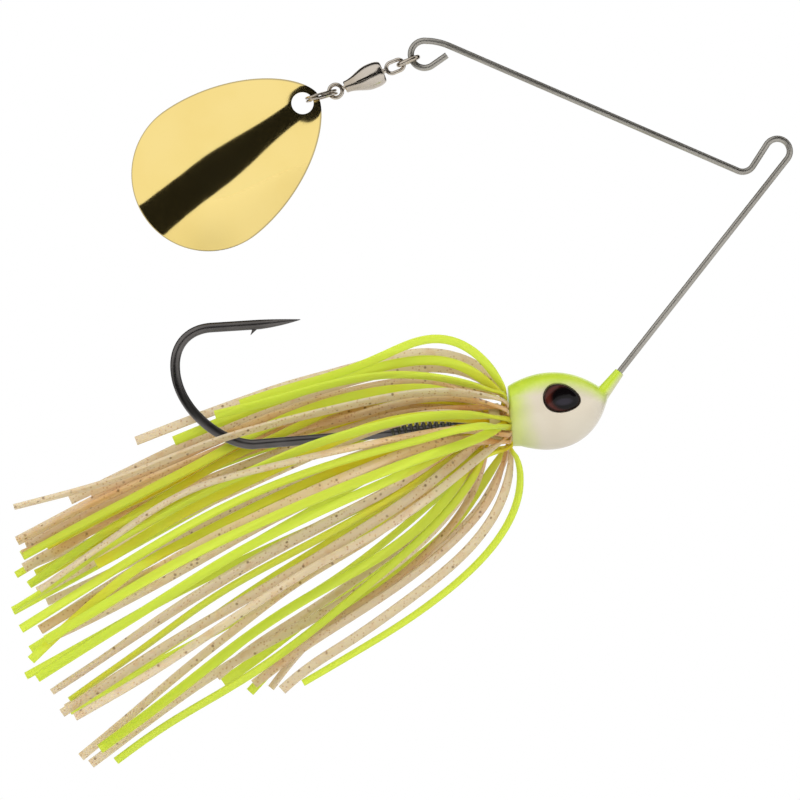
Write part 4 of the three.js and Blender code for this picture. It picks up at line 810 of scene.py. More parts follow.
def hook_line(diameter, gap):
    """The hook's middle line from its shank to its tip, with the wire's radius at each point."""
    radius = diameter / 2
    up = heading(SHANK_HEADING - 90)
    back = on_hook(BEND_BACK, BEND_BACK_HEIGHT)
    shank_end = on_hook(SHANK_LENGTH, 0)
    spear = on_hook(SPEAR_START, gap)
    tip = on_hook(SPEAR_START - SPEAR_LENGTH, gap - SPEAR_DROP)
    way = (tip - spear).normalized()
    lower = [shank_end, on_hook(SHANK_LENGTH + LOWER_BEND_HANDLE, 0), back - UP * LOWER_BEND_PULL, back]
    upper = [back, back + UP * UPPER_BEND_PULL, spear - way * UPPER_BEND_HANDLE, spear]
    line = [(on_hook(HOOK_EYE_RADIUS, 0), HOOK_EYE_WIRE / 2), (on_hook(HOOK_EYE_RADIUS + diameter, 0), radius)]
    shank = line[1][0]
    line += [(shank.lerp(shank_end, k / SHANK_STEPS), radius) for k in range(1, SHANK_STEPS)]
    line += [(cubic(lower, k / LOWER_BEND_STEPS), radius) for k in range(LOWER_BEND_STEPS + 1)]
    line += [(cubic(upper, k / UPPER_BEND_STEPS), radius) for k in range(1, UPPER_BEND_STEPS + 1)]
    taper_start = tip - way * POINT_TAPER
    for k in range(POINT_STEPS + 1):
        share = k / POINT_STEPS
        thin = radius + (POINT_TIP - radius) * share ** POINT_TAPER_POWER
        point = taper_start + way * (share * POINT_TAPER) + up * ((radius - thin) / 2)
        line.append((point, thin))
    return line, tip, way


def tube_along(name, line, sides):
    """A round tube on a line of (point, radius) pairs, by way of a curve with a bevel."""
    curve = bpy.data.curves.new(name, "CURVE")
    curve.dimensions = "3D"
    curve.bevel_depth = 1.0
    curve.bevel_resolution = sides // 4 - 1
    curve.use_fill_caps = True
    spline = curve.splines.new("POLY")
    spline.points.add(len(line) - 1)
    for spot, (point, radius) in zip(spline.points, line):
        spot.co = (*point, 1)
        spot.radius = radius
    choose(new_object(name, curve))
    bpy.ops.object.convert(target="MESH")
    edit(bpy.context.object)
    close_edit()
    return bpy.context.object


class SPINNERBAIT_OT_hook(Operator):
    """Models the forged hook with its needle point and barb"""

    bl_idname = "spinnerbait.hook"
    bl_label = "Hook"

    def execute(self, context):
        sizes = context.scene.spinnerbait_hook
        line, tip, way = hook_line(sizes.diameter, sizes.gap)
        piece = tube_along("forged_hook", line, HOOK_SIDES)
        cut(piece, self.barb(tip, way, sizes.diameter / 2), "UNION")
        ring = primitive(
            "torus", "hook_eye", major_radius=HOOK_EYE_RADIUS, minor_radius=HOOK_EYE_WIRE / 2, major_segments=40,
            minor_segments=14, location=hook_eye(), rotation=(math.radians(90), 0, 0))
        join(piece, ring)
        dress(piece, "bait", ["hook"], black_nickel, smooth=35)
        return {"FINISHED"}

    def barb(self, tip, way, radius):
        """A thin sliver cut up from the inner side of the spear, that points back to the bend."""
        inner = -heading(SHANK_HEADING - 90)
        root = tip - way * (BARB_FROM_TIP - BARB_LENGTH)
        root_low = root + inner * (radius * BARB_ROOT)
        back = root - way * (BARB_LENGTH * BARB_SLANT) + inner * (radius + BARB_HEIGHT)
        heel = root - way * (BARB_LENGTH * BARB_HEEL) + inner * (radius * BARB_ROOT)
        thick, thin = Vector((0, BARB_THICK, 0)), Vector((0, BARB_THIN, 0))
        points = [root_low - thick, root_low + thick, heel - thick, heel + thick, back - thin, back + thin]
        faces = [(0, 1, 3, 2), (0, 4, 5, 1), (2, 3, 5, 4), (0, 2, 4), (1, 5, 3)]
        piece = mesh_piece("barb", points, faces)
        edit(piece)
        close_edit()
        return piece


class SPINNERBAIT_OT_keeper(Operator):
    """Winds the bait keeper round the shank"""

    bl_idname = "spinnerbait.keeper"
    bl_label = "Bait keeper"

    def execute(self, context):
        sizes = context.scene.spinnerbait_hook
        radius = sizes.diameter / 2 + KEEPER_CLEARANCE + sizes.keeper_wire / 2
        line = []
        for k in range(KEEPER_TURNS * KEEPER_STEPS + 1):
            turn = 2 * math.pi * k / KEEPER_STEPS
            along = KEEPER_START + KEEPER_PITCH * k / KEEPER_STEPS
            line.append((on_hook(along, radius * math.cos(turn), -radius * math.sin(turn)), sizes.keeper_wire / 2))
        piece = tube_along("keeper_coil", line, KEEPER_SIDES)
        dress(piece, "bait", ["bait_keeper"], keeper_wire, smooth=60)
        return {"FINISHED"}


# Head and eyes

# The side outline as two cubic curves from the rear to the nose: millimetres in the XZ plane from the hook's eye
HEAD_TOP = [(-10.75, 4.3), (-6.09, 7.18), (-0.95, 6.86), (3.4, 3.2)]
HEAD_BOTTOM = [(-8.8, -4.15), (-2.7, -5.8), (2.2, -3.3), (3.4, 3.2)]
# The head's rear is drawn in to the neck through rings. Each has its top and its bottom, along the shank and up
# from it, and its half width
HEAD_REAR_RINGS = [((10.8, 1.5), (10.65, -1.5), 1.5), ((10.55, 3.5), (10.3, -3.3), 2.9)]
HEAD_STEPS = 44
HEAD_STEP_POWER = 1.6  # packs the rings together towards the nose
HEAD_SIDES = 64
HEAD_WIDEST = 0.42  # share of the way from the rear to the nose
NOSE_POWER = 2.3
NOSE_ROUNDING = 0.55
PAINT_SMOOTHING = 7
SLEEVE_TIP_RADIUS = 0.7 * MM
SLEEVE_BASE_RADIUS = 1.15 * MM
SLEEVE_LENGTH = 4.2 * MM
SLEEVE_OVERLAP = 1.2 * MM  # how far the sleeve runs on into the head
BORE_RADIUS = 0.5 * MM
BORE_DEPTH = 3 * MM
NECK_START = 7.4 * MM
NECK_END = 14.2 * MM
NECK_RADIUS = 1.2 * MM
NECK_RIDGE_RADIUS = 1.3 * MM
NECK_RIDGE_LENGTH = 0.5 * MM
EYE_CENTRE = (-3.23 * MM, 2.55 * MM)
EYE_LENGTH = 5.05 * MM
EYE_HEIGHT = 3.8 * MM
EYE_TURN = -9
EYE_POINTING = 0.22  # how much the outline narrows towards its front
EYE_SEAT = 3 * MM  # from the middle plane to the recess floor
EYE_RIM = 0.95 * MM
EYE_DOME = 0.65 * MM
EYE_EDGE = 0.8  # share of the rim's height that stands straight
EYE_SIDES = 64
DOME_STEPS = 15
DOME_POWER = 0.6
DOME_FLATNESS = 0.9
EYE_CLEARANCE = 0.12 * MM
# Where the chartreuse spray ends, about the middle of the hook's eye. A fade runs from bare to full
BACK_HEIGHT = 6.2 * MM
BACK_MIDDLE = -3.6 * MM
BACK_CURVE = 55.0
BACK_FADE = (-2.9 * MM, -0.4 * MM)
REAR_GREEN_START = -10.4 * MM
REAR_GREEN_END = -6.2 * MM
REAR_FADE = (-MM, 3 * MM)
REAR_BELLY_GREEN = 0.62  # what is left of the rear's green at the belly
NOSE_FADE = (3.4 * MM, 4.6 * MM)
SLEEVE_RUN = (0.618, 0.786)  # square to the sleeve, under which the nose stays pearl
SLEEVE_FADE = (-0.9 * MM, 0.1 * MM)
SPRAY_WANDER = 0.9 * MM
# The printed pupil and its glint: the middle and the half length and height, on the eye's own axes
PUPIL_MIDDLE = (0.5 * MM, 0.1 * MM)
PUPIL_HALF = (2.15 * MM, 1.75 * MM)
GLINT_MIDDLE = (0.35 * MM, -0.5 * MM)
GLINT_HALF = (1.25 * MM, 0.55 * MM)
GLINT_RISE = 0.25


def eye_middle():
    """The middle of the printed eyes, in the lure's plane."""
    return hook_eye() + Vector((EYE_CENTRE[0], 0, EYE_CENTRE[1]))


def eye_ring(scale, y, grow=0.0):
    """The eye's outline at a scale, at a place across the head."""
    ring = []
    for k in range(EYE_SIDES):
        turn = 2 * math.pi * k / EYE_SIDES
        narrow = 1 - EYE_POINTING * math.cos(turn)
        along = (scale * EYE_LENGTH / 2 + grow) * math.cos(turn)
        high = (scale * EYE_HEIGHT / 2 + grow) * math.sin(turn) * narrow
        spot = eye_middle() + heading(EYE_TURN) * along + heading(EYE_TURN + 90) * high
        ring.append(Vector((spot.x, y, spot.z)))
    return ring


def head_half_width(share, sizes):
    """Half the head's width at a share of the way from its rear to its nose."""
    half, rear = sizes.width / 2, sizes.rear_width / 2
    if share < HEAD_WIDEST:
        back = (HEAD_WIDEST - share) / HEAD_WIDEST
        return half - (half - rear) * back * back
    ahead = (share - HEAD_WIDEST) / (1 - HEAD_WIDEST)
    return half * max(0.0, 1 - ahead ** NOSE_POWER) ** NOSE_ROUNDING


class SPINNERBAIT_OT_head(Operator):
    """Casts the head with its sleeve and neck, cuts the eye recesses and rounds all corners as paint does"""

    bl_idname = "spinnerbait.head"
    bl_label = "Head"

    def execute(self, context):
        sizes = context.scene.spinnerbait_head
        piece = self.shell(sizes)
        tip = sleeve_tip()
        base = tip + heading(LOWER_ARM_HEADING) * (SLEEVE_LENGTH + SLEEVE_OVERLAP)
        for tool in (
            self.cone("sleeve", tip, base, SLEEVE_TIP_RADIUS, SLEEVE_BASE_RADIUS),
            self.cone("neck", on_hook(NECK_START, 0), on_hook(NECK_END, 0), NECK_RADIUS, NECK_RADIUS),
            self.cone("ridge", on_hook(NECK_END - NECK_RIDGE_LENGTH, 0), on_hook(NECK_END, 0),
                      NECK_RIDGE_RADIUS, NECK_RADIUS),
        ):
            cut(piece, tool, "UNION")
        for side in (-1, 1):
            rings = [eye_ring(1, side * EYE_SEAT, EYE_CLEARANCE), eye_ring(1, side * sizes.width, EYE_CLEARANCE)]
            cut(piece, loft_piece("recess", rings))
        self.round_corners(piece, sizes.grain)
        bore_end = tip + heading(LOWER_ARM_HEADING) * BORE_DEPTH
        cut(piece, self.cone("bore", tip - heading(LOWER_ARM_HEADING) * MM, bore_end, BORE_RADIUS, BORE_RADIUS))
        dress(piece, "bait", ["head"], head_paint, smooth=60)
        return {"FINISHED"}

    def shell(self, sizes):
        """The casting's body through rings between its top and bottom edges."""
        eye = hook_eye()
        top = [eye + Vector((x * MM, 0, z * MM)) for x, z in HEAD_TOP]
        bottom = [eye + Vector((x * MM, 0, z * MM)) for x, z in HEAD_BOTTOM]
        edges = [
            (on_hook(a * MM, b * MM), on_hook(c * MM, d * MM), half * MM)
            for (a, b), (c, d), half in HEAD_REAR_RINGS]
        for k in range(HEAD_STEPS):
            share = 1 - (1 - k / HEAD_STEPS) ** HEAD_STEP_POWER
            edges.append((cubic(top, share), cubic(bottom, share), head_half_width(share, sizes)))
        rings = []
        for high, low, width in edges:
            middle, half = (high + low) / 2, (high - low) / 2
            turns = [2 * math.pi * n / HEAD_SIDES for n in range(HEAD_SIDES)]
            rings.append([middle + half * math.cos(turn) + Vector((0, width * math.sin(turn), 0)) for turn in turns])
        return loft_piece("painted_head", rings)

    def cone(self, name, start, end, start_radius, end_radius):
        """A straight round bar between two points, with a radius at each end."""
        way = end - start
        return primitive(
            "cone", name, vertices=40, radius1=start_radius, radius2=end_radius, depth=way.length,
            location=(start + end) / 2, rotation=way.to_track_quat("Z", "Y").to_euler())

    def round_corners(self, piece, grain):
        """Remeshes the casting at a fine grain and smooths it, so that its parts flow together."""
        piece.data.transform(Matrix.Scale(1 / MM, 4))
        choose(piece)
        piece.data.remesh_voxel_size = grain / MM
        bpy.ops.object.voxel_remesh()
        apply_modifier(piece, "SMOOTH", factor=0.5, iterations=PAINT_SMOOTHING)
        piece.data.transform(Matrix.Scale(MM, 4))


class SPINNERBAIT_OT_eyes(Operator):
    """Domes the two printed eyes in their recesses"""

    bl_idname = "spinnerbait.eyes"
    bl_label = "Eyes"

    def execute(self, context):
        for name, node, side in (("near_eye_dome", "eye_near", -1), ("far_eye_dome", "eye_far", 1)):
            base = EYE_SEAT + EYE_CLEARANCE
            edge = EYE_RIM * EYE_EDGE
            rings = [eye_ring(1, side * base), eye_ring(1, side * (base + edge))]
            for k in range(1, DOME_STEPS):
                share = k / DOME_STEPS
                rise = math.sin(math.pi / 2 * share ** DOME_POWER) ** DOME_FLATNESS
                rings.append(eye_ring(1 - share, side * (base + edge + (EYE_DOME + EYE_RIM - edge) * rise)))
            dress(loft_piece(name, rings), "bait", [node], eye_print, smooth=70)
        return {"FINISHED"}


# Skirt

# The skirt's numbers are millimetres until its meshes are made
TAB_COUNT = 10
TAB_GAP = 0.14
TAB_STEPS = 8
TAB_INNER = 1.42  # radius
TAB_THICKNESS = 0.8
TAB_START = 11.6
TAB_LENGTH = 1.9
BAND_INNER = TAB_INNER + TAB_THICKNESS + 0.1
BAND_THICKNESS = 0.6
BAND_OUTER = BAND_INNER + BAND_THICKNESS
BAND_WIDTH = 1.5
BAND_EDGE = 0.2
ROOT_SHARE = 0.34  # the strand's size where the band squeezes it
ROOT_STRETCH = 6.5  # length over which it swells to full size
ROOT_FULLNESS = 0.7  # under 1, a strand looks fuller near its root than the room that it is given
RUN_STEPS = 16
RINGS = 52
RING_EASE = 1.25  # over 1 packs a strand's rings towards its root
CURVE_STEPS = 8
SILICONE_GLOW = 0.3
SILICONE_CLEAR = 0.38  # share of the light that passes through each surface
GREEN_TINT = (0.95, 1.0, 0.33)
PEARL_TINT = (1.0, 0.89, 0.7)

# Where the six strands of a tab leave it. The rear ones leave the band rearwards, and the front ones leave it
# forwards and fold back over it. turn is measured round the neck from the tab's middle, and root is the share
# of the tab's thickness at which the strand starts.
SLOTS = [
    dict(front=False, turn=0, root=0.25),
    dict(front=False, turn=-9, root=0.72),
    dict(front=False, turn=9, root=0.72),
    dict(front=True, turn=0, root=0.72),
    dict(front=True, turn=-9, root=0.25),
    dict(front=True, turn=9, root=0.25),
]

# The course of each strand, tab by tab in the order of SLOTS: how far its tip lies towards -Y, in millimetres,
# and the places that it passes from the band to its tip. The places are columns and rows of a square grid in
# the lure's plane, counted from the upper left, and TIE_COLUMN and TIE_ROW are the line tie's.
GRID = 0.14
TIE_COLUMN = 777.3
TIE_ROW = 151.3
COURSES = [
    [  # chartreuse 1, at the top
        (-3.0, (430, 394, 350, 408, 250, 446, 180, 487, 100, 535, 29, 585)),
        (-1.5, (430, 386, 350, 396, 280, 420, 180, 474, 90, 520, 24, 556)),
        (-4.5, (430, 390, 350, 401, 270, 430, 180, 480, 110, 515, 48, 547)),
        (-2.2, (490, 386, 466, 364, 424, 358, 374, 367, 330, 380, 289, 393, 230, 418, 174, 441)),
        (2.0, (506, 385, 492, 369, 464, 342, 424, 337, 384, 356, 330, 377, 289, 388, 240, 404)),
        (5.0, (504, 398, 484, 388, 444, 378, 390, 374, 330, 384, 275, 400, 215, 415)),
    ],
    [  # pearl 1
        (6.0, (445, 410, 410, 416, 370, 430, 320, 451, 250, 480, 180, 512, 120, 545, 60, 577)),
        (-6.0, (440, 396, 380, 403, 310, 420, 240, 444, 180, 470, 100, 510, 26, 546)),
        (9.0, (440, 411, 400, 419, 360, 434, 300, 460, 230, 492, 160, 525, 38, 592)),
        (-5.5, (500, 410, 484, 407, 450, 404, 397, 413, 350, 428, 300, 444, 255, 460, 180, 490, 22, 553)),
        (6.5, (503, 401, 484, 393, 430, 390, 364, 402, 300, 417, 235, 434, 180, 453, 130, 476, 84, 489, 14, 507)),
        (-3.5, (503, 405, 484, 400, 457, 394, 397, 401, 330, 417, 235, 441, 180, 463, 100, 500, 17, 541)),
    ],
    [  # chartreuse 2, on the near side
        (13.0, (440, 432, 397, 448, 340, 470, 260, 505, 180, 548, 100, 595, 31, 660)),
        (12.0, (440, 414, 390, 421, 340, 437, 260, 474, 200, 502, 95, 562)),
        (14.0, (440, 456, 384, 483, 330, 506, 280, 530, 230, 556, 162, 600, 100, 638, 37, 678)),
        (14.0, (496, 436, 464, 440, 430, 455, 397, 467, 330, 492, 250, 527, 180, 560, 46, 640)),
        (12.0, (492, 418, 477, 414, 450, 412, 424, 415, 397, 420, 370, 427, 343, 435, 330, 439, 280, 460, 230, 483,
                180, 506, 13, 610)),
        (13.5, (500, 428, 470, 428, 440, 432, 397, 446, 357, 456, 330, 464, 260, 490, 180, 530, 21, 629)),
    ],
    [  # pearl 2
        (11.0, (450, 448, 420, 472, 384, 494, 330, 520, 280, 545, 186, 600, 140, 632, 100, 661, 52, 692)),
        (12.5, (440, 440, 397, 462, 350, 485, 280, 515, 180, 572, 100, 615, 47, 640)),
        (10.0, (455, 462, 420, 492, 370, 524, 310, 562, 244, 600, 211, 619, 163, 647, 62, 713)),
        (11.5, (492, 444, 476, 456, 461, 475, 435, 494, 409, 513, 366, 542, 332, 554, 280, 588, 206, 636, 162, 667,
                75, 717)),
        (13.0, (494, 427, 477, 429, 450, 431, 424, 435, 397, 440, 357, 447, 334, 451, 292, 460, 264, 469, 236, 476,
                208, 481, 180, 491, 126, 530, 91, 553, 40, 590)),
        (13.0, (502, 434, 476, 436, 437, 441, 397, 455, 364, 469, 330, 482, 270, 510, 180, 552, 40, 630)),
    ],
    [  # chartreuse 3
        (5.0, (470, 467, 459, 485, 435, 515, 400, 545, 366, 566, 320, 590, 250, 634, 163, 703, 100, 749)),
        (9.0, (455, 455, 424, 480, 384, 505, 332, 533, 280, 559, 207, 600, 163, 634, 70, 700)),
        (3.0, (480, 470, 462, 494, 435, 527, 400, 558, 366, 586, 320, 625, 250, 676, 163, 726, 116, 761)),
        (8.0, (492, 436, 464, 453, 424, 477, 397, 491, 330, 521, 280, 543, 230, 566, 135, 615, 37, 677)),
        (8.5, (500, 440, 484, 448, 450, 471, 410, 494, 366, 518, 320, 548, 260, 585, 180, 640, 90, 695)),
        (3.5, (512, 440, 522, 462, 523, 487, 514, 516, 493, 548, 461, 580, 429, 605, 393, 630, 357, 651, 321, 673,
               303, 683)),
    ],
    [  # pearl 3, at the bottom
        (-2.0, (470, 478, 452, 502, 426, 525, 400, 547, 366, 573, 320, 604, 288, 625, 250, 648, 217, 677)),
        (1.5, (476, 474, 455, 508, 420, 545, 380, 577, 330, 610, 250, 652, 192, 688, 144, 724, 91, 764)),
        (-3.5, (480, 480, 462, 512, 430, 552, 390, 585, 350, 611, 306, 643, 271, 688)),
        (-2.5, (506, 452, 498, 486, 480, 514, 452, 543, 420, 569, 375, 601, 340, 623, 306, 645, 254, 684)),
        (1.0, (512, 446, 510, 480, 500, 508, 478, 540, 452, 566, 400, 606, 349, 642, 300, 672, 282, 690)),
        (-4.5, (508, 448, 500, 470, 494, 490, 470, 521, 444, 543, 409, 571, 375, 595, 340, 618, 306, 637, 262, 680)),
    ],
    [  # chartreuse 4, on the far side
        (-9.0, (460, 480, 435, 516, 400, 550, 350, 586, 300, 625, 250, 664, 223, 682)),
        (-11.0, (440, 440, 390, 465, 330, 500, 250, 545, 162, 600, 26, 676)),
        (-12.0, (440, 432, 390, 452, 330, 478, 250, 518, 180, 556, 31, 650)),
        (-8.5, (494, 444, 472, 462, 450, 488, 421, 511, 392, 537, 366, 557, 332, 583, 288, 608, 250, 634, 211, 668,
                104, 746)),
        (-6.5, (506, 446, 496, 464, 475, 495, 452, 530, 426, 551, 400, 571, 350, 603, 300, 640, 250, 692)),
        (-10.5, (498, 440, 480, 452, 455, 474, 410, 505, 350, 545, 300, 580, 240, 620, 160, 660, 70, 712)),
    ],
    [  # pearl 4
        (-14.0, (440, 430, 390, 446, 330, 466, 250, 500, 180, 540, 47, 602)),
        (-10.0, (450, 466, 410, 510, 366, 542, 332, 560, 280, 592, 236, 629, 179, 673, 139, 709, 81, 757)),
        (-12.5, (440, 415, 390, 428, 330, 447, 260, 470, 180, 505, 24, 568)),
        (-12.0, (494, 440, 470, 452, 440, 477, 400, 507, 350, 538, 297, 568, 211, 619, 163, 647, 66, 708)),
        (-12.0, (494, 434, 470, 444, 445, 460, 420, 475, 384, 495, 330, 524, 280, 549, 186, 604, 58, 688)),
        (-14.0, (498, 424, 470, 425, 440, 430, 400, 445, 340, 468, 280, 492, 196, 532, 126, 574, 41, 630)),
    ],
    [  # chartreuse 5
        (-9.0, (440, 404, 380, 418, 310, 440, 240, 468, 160, 512, 36, 574)),
        (-11.0, (440, 412, 380, 430, 310, 455, 240, 485, 160, 530, 13, 611)),
        (-7.5, (440, 398, 380, 403, 310, 420, 240, 450, 160, 496, 60, 545)),
        (-10.0, (498, 413, 470, 410, 430, 411, 380, 421, 330, 437, 260, 462, 180, 499, 100, 542, 30, 584)),
        (-10.5, (500, 407, 470, 402, 437, 400, 397, 408, 364, 418, 330, 427, 270, 447, 180, 481, 100, 525, 16, 575)),
        (-8.0, (502, 396, 464, 386, 430, 382, 397, 386, 364, 392, 330, 403, 270, 424, 200, 462, 100, 513, 22, 556)),
    ],
    [  # pearl 5
        (-6.0, (430, 402, 350, 412, 250, 447, 180, 473, 100, 522, 24, 568)),
        (-7.0, (430, 396, 340, 410, 240, 446, 150, 492, 60, 540)),
        (-3.5, (430, 388, 330, 399, 250, 426, 180, 459, 90, 492)),
        (-5.0, (496, 396, 475, 385, 430, 378, 380, 385, 330, 395, 260, 420, 180, 455, 100, 497, 17, 541)),
        (-5.0, (504, 390, 490, 376, 466, 367, 437, 366, 384, 371, 330, 389, 289, 401, 240, 420, 180, 448, 70, 500)),
        (-2.0, (510, 390, 503, 382, 490, 370, 450, 351, 410, 352, 374, 363, 300, 384, 230, 405, 136, 441)),
    ],
]
ROOT_DEPTH = 0.4
# How the front strands fold back over the band
FOLD_FORWARD = 0.8
FOLD_TILT = 0.15
FOLD_LIFT = 0.82
FOLD_SPREAD = 1.25
FOLD_TOP_LIFT = 0.9
SIDE_EASE = 12  # length over which a strand takes up its distance from the lure's plane
STRAND_SECTION = np.array([
    (-1, -0.55), (-0.72, -1), (0.72, -1), (1, -0.55), (1, 0.55), (0.72, 1), (-0.72, 1), (-1, 0.55)])
TWIST_JITTER = 30
FACING = 0.75  # how far a strand turns its broad side towards Y on its way
FACING_LENGTH = 9
TIP_TWIST = 40
WIDTH_JITTER = 0.15  # most that a strand is broader or narrower than most, as a share
TONE_JITTER = 0.3  # most that a strand's painted shade is deeper or paler than most, as a share
USE_TWIST, USE_TIP, USE_WIDTH, USE_TONE = 4, 6, 7, 9  # what jitter is asked for
STRAND_SPACE = 0.06  # room between strands, as a share of their size
SETTLE_ROUNDS = 120
PLANE_SHARE = 0.2  # how much of a parting move keeps its way. The rest is turned towards Y
MOST_PARTING = 0.4
MOST_MOVE = 0.5
GUARD_FROM = 40  # the strands keep off the hook's bend from here along the shank
GUARD_STRIDE = 4  # every how many points of the hook's line are guarded
GUARD_GAP = 0.8  # from the neck to where the strands start to keep off the shank
CROWD_REACH = 3.2  # how near another strand must be to darken this one with painted shade
CROWD_FULL = 3.5
CROWD_OUTSIDE = 0.95
CROWD_WEIGHTS = (0.2, 1.7)


def skirt_axes():
    """The skirt's own axes at the hook's eye, as columns: rearward, up and towards -Y."""
    return np.array([heading(SHANK_HEADING), heading(SHANK_HEADING - 90), (0, -1, 0)])


def jitter(strand, use):
    """A steady number from -1 to 1 for each strand and use."""
    wave = math.sin(strand * 12.9898 + use * 78.233) * 43758.5453
    return 2 * (wave - math.floor(wave)) - 1


def out_from(azimuth):
    """Outward from the shank, as (rearward, up, near side): 0 is up and 90 is towards -Y."""
    turn = math.radians(azimuth)
    return np.array([0, math.cos(turn), math.sin(turn)])


def on_grid(column, row, near):
    """A place of the grid in the skirt's axes. A point that lies towards -Y is drawn in along the camera's line
    of sight, so that it is still seen at its place on the grid."""
    centre = np.array(VIEW_CENTRE) / MM
    flat = np.array([(column - TIE_COLUMN) * GRID, 0, (TIE_ROW - row) * GRID])
    spot = centre + (flat - centre) * (1 - near * MM / CAMERA_DISTANCE)
    return skirt_axes() @ (spot - np.array([0, near, 0]) - np.array(hook_eye()) / MM)


def strand_course(slot, azimuth, near, places):
    """The middle line of one strand from its tab to its tip, before the strands settle."""
    out = out_from(azimuth)
    root_radius = TAB_INNER + TAB_THICKNESS * slot["root"]
    root_along = TAB_START if slot["front"] else TAB_START + TAB_LENGTH
    inside = ROOT_DEPTH if slot["front"] else -ROOT_DEPTH
    rearward = np.array([1.0, 0, 0])
    points = [rearward * (root_along + inside) + out * root_radius, rearward * root_along + out * root_radius]
    if slot["front"]:
        spread = FOLD_SPREAD - slot["root"]
        ahead = root_along - (FOLD_FORWARD - FOLD_TILT * out[1]) * spread
        high = BAND_OUTER + FOLD_LIFT * spread + FOLD_TOP_LIFT * max(out[1], 0)
        corner = rearward * ahead + out * root_radius
        end = rearward * ahead + out * high
        points += [points[1] * 0.25 + corner * 0.5 + end * 0.25, end]
    start = points[-1]
    run = [start]
    for column, row in zip(places[::2], places[1::2]):
        along = on_grid(column, row, 0)[0]
        eased = 1 - math.exp(-max(along - TAB_START, 0) / SIDE_EASE)
        run.append(on_grid(column, row, start[2] * (1 - eased) + near * eased))
    run = smooth_line(np.array(run), RUN_STEPS + 1)
    for _ in range(2):
        run[1:-1] = run[1:-1] * 0.5 + (run[:-2] + run[2:]) * 0.25
    return np.concatenate([points, run[1:]])


def strand_sizes(points):
    """A strand's size at each point, as a share of its full size: the band squeezes its root."""
    gone = np.concatenate([[0], np.cumsum(np.linalg.norm(np.diff(points, axis=0), axis=1))])
    return ROOT_SHARE + (1 - ROOT_SHARE) * np.minimum(gone / ROOT_STRETCH, 1)


def all_strands(diagonal):
    """The sixty strands, each with its tab, its number and its middle line, before they settle."""
    strands = []
    for tab in range(TAB_COUNT):
        for slot, (near, places) in zip(SLOTS, COURSES[tab]):
            azimuth = 360 / TAB_COUNT * (tab + 0.5) + slot["turn"]
            points = strand_course(slot, azimuth, near, places)
            strands.append({
                "tab": tab, "number": len(strands) + 1, "azimuth": azimuth, "points": points,
                "radii": strand_sizes(points) * diagonal, "held": len(points) - RUN_STEPS})
    return strands


def hook_guides(diameter, gap, keeper_wire):
    """The shank with its keeper, and the bend, as lines that the strands keep off."""
    line, _, _ = hook_line(diameter, gap)
    axes = skirt_axes()
    eye = np.array(hook_eye())
    own = [(axes @ ((np.array(point) - eye) / MM), radius / MM) for point, radius in line]
    keeper_end = (KEEPER_START + KEEPER_PITCH * KEEPER_TURNS) / MM
    outer = (diameter / 2 + KEEPER_CLEARANCE + keeper_wire) / MM
    bend = [(np.array([keeper_end, 0, 0]), diameter / 2 / MM)]
    bend += [spot for spot in own if spot[0][0] > GUARD_FROM][::GUARD_STRIDE]
    return [
        {"points": np.array([[NECK_END / MM + GUARD_GAP, 0, 0], [keeper_end, 0, 0]]), "radii": np.full(2, outer)},
        {"points": np.array([spot for spot, _ in bend]), "radii": np.array([radius for _, radius in bend])},
    ]


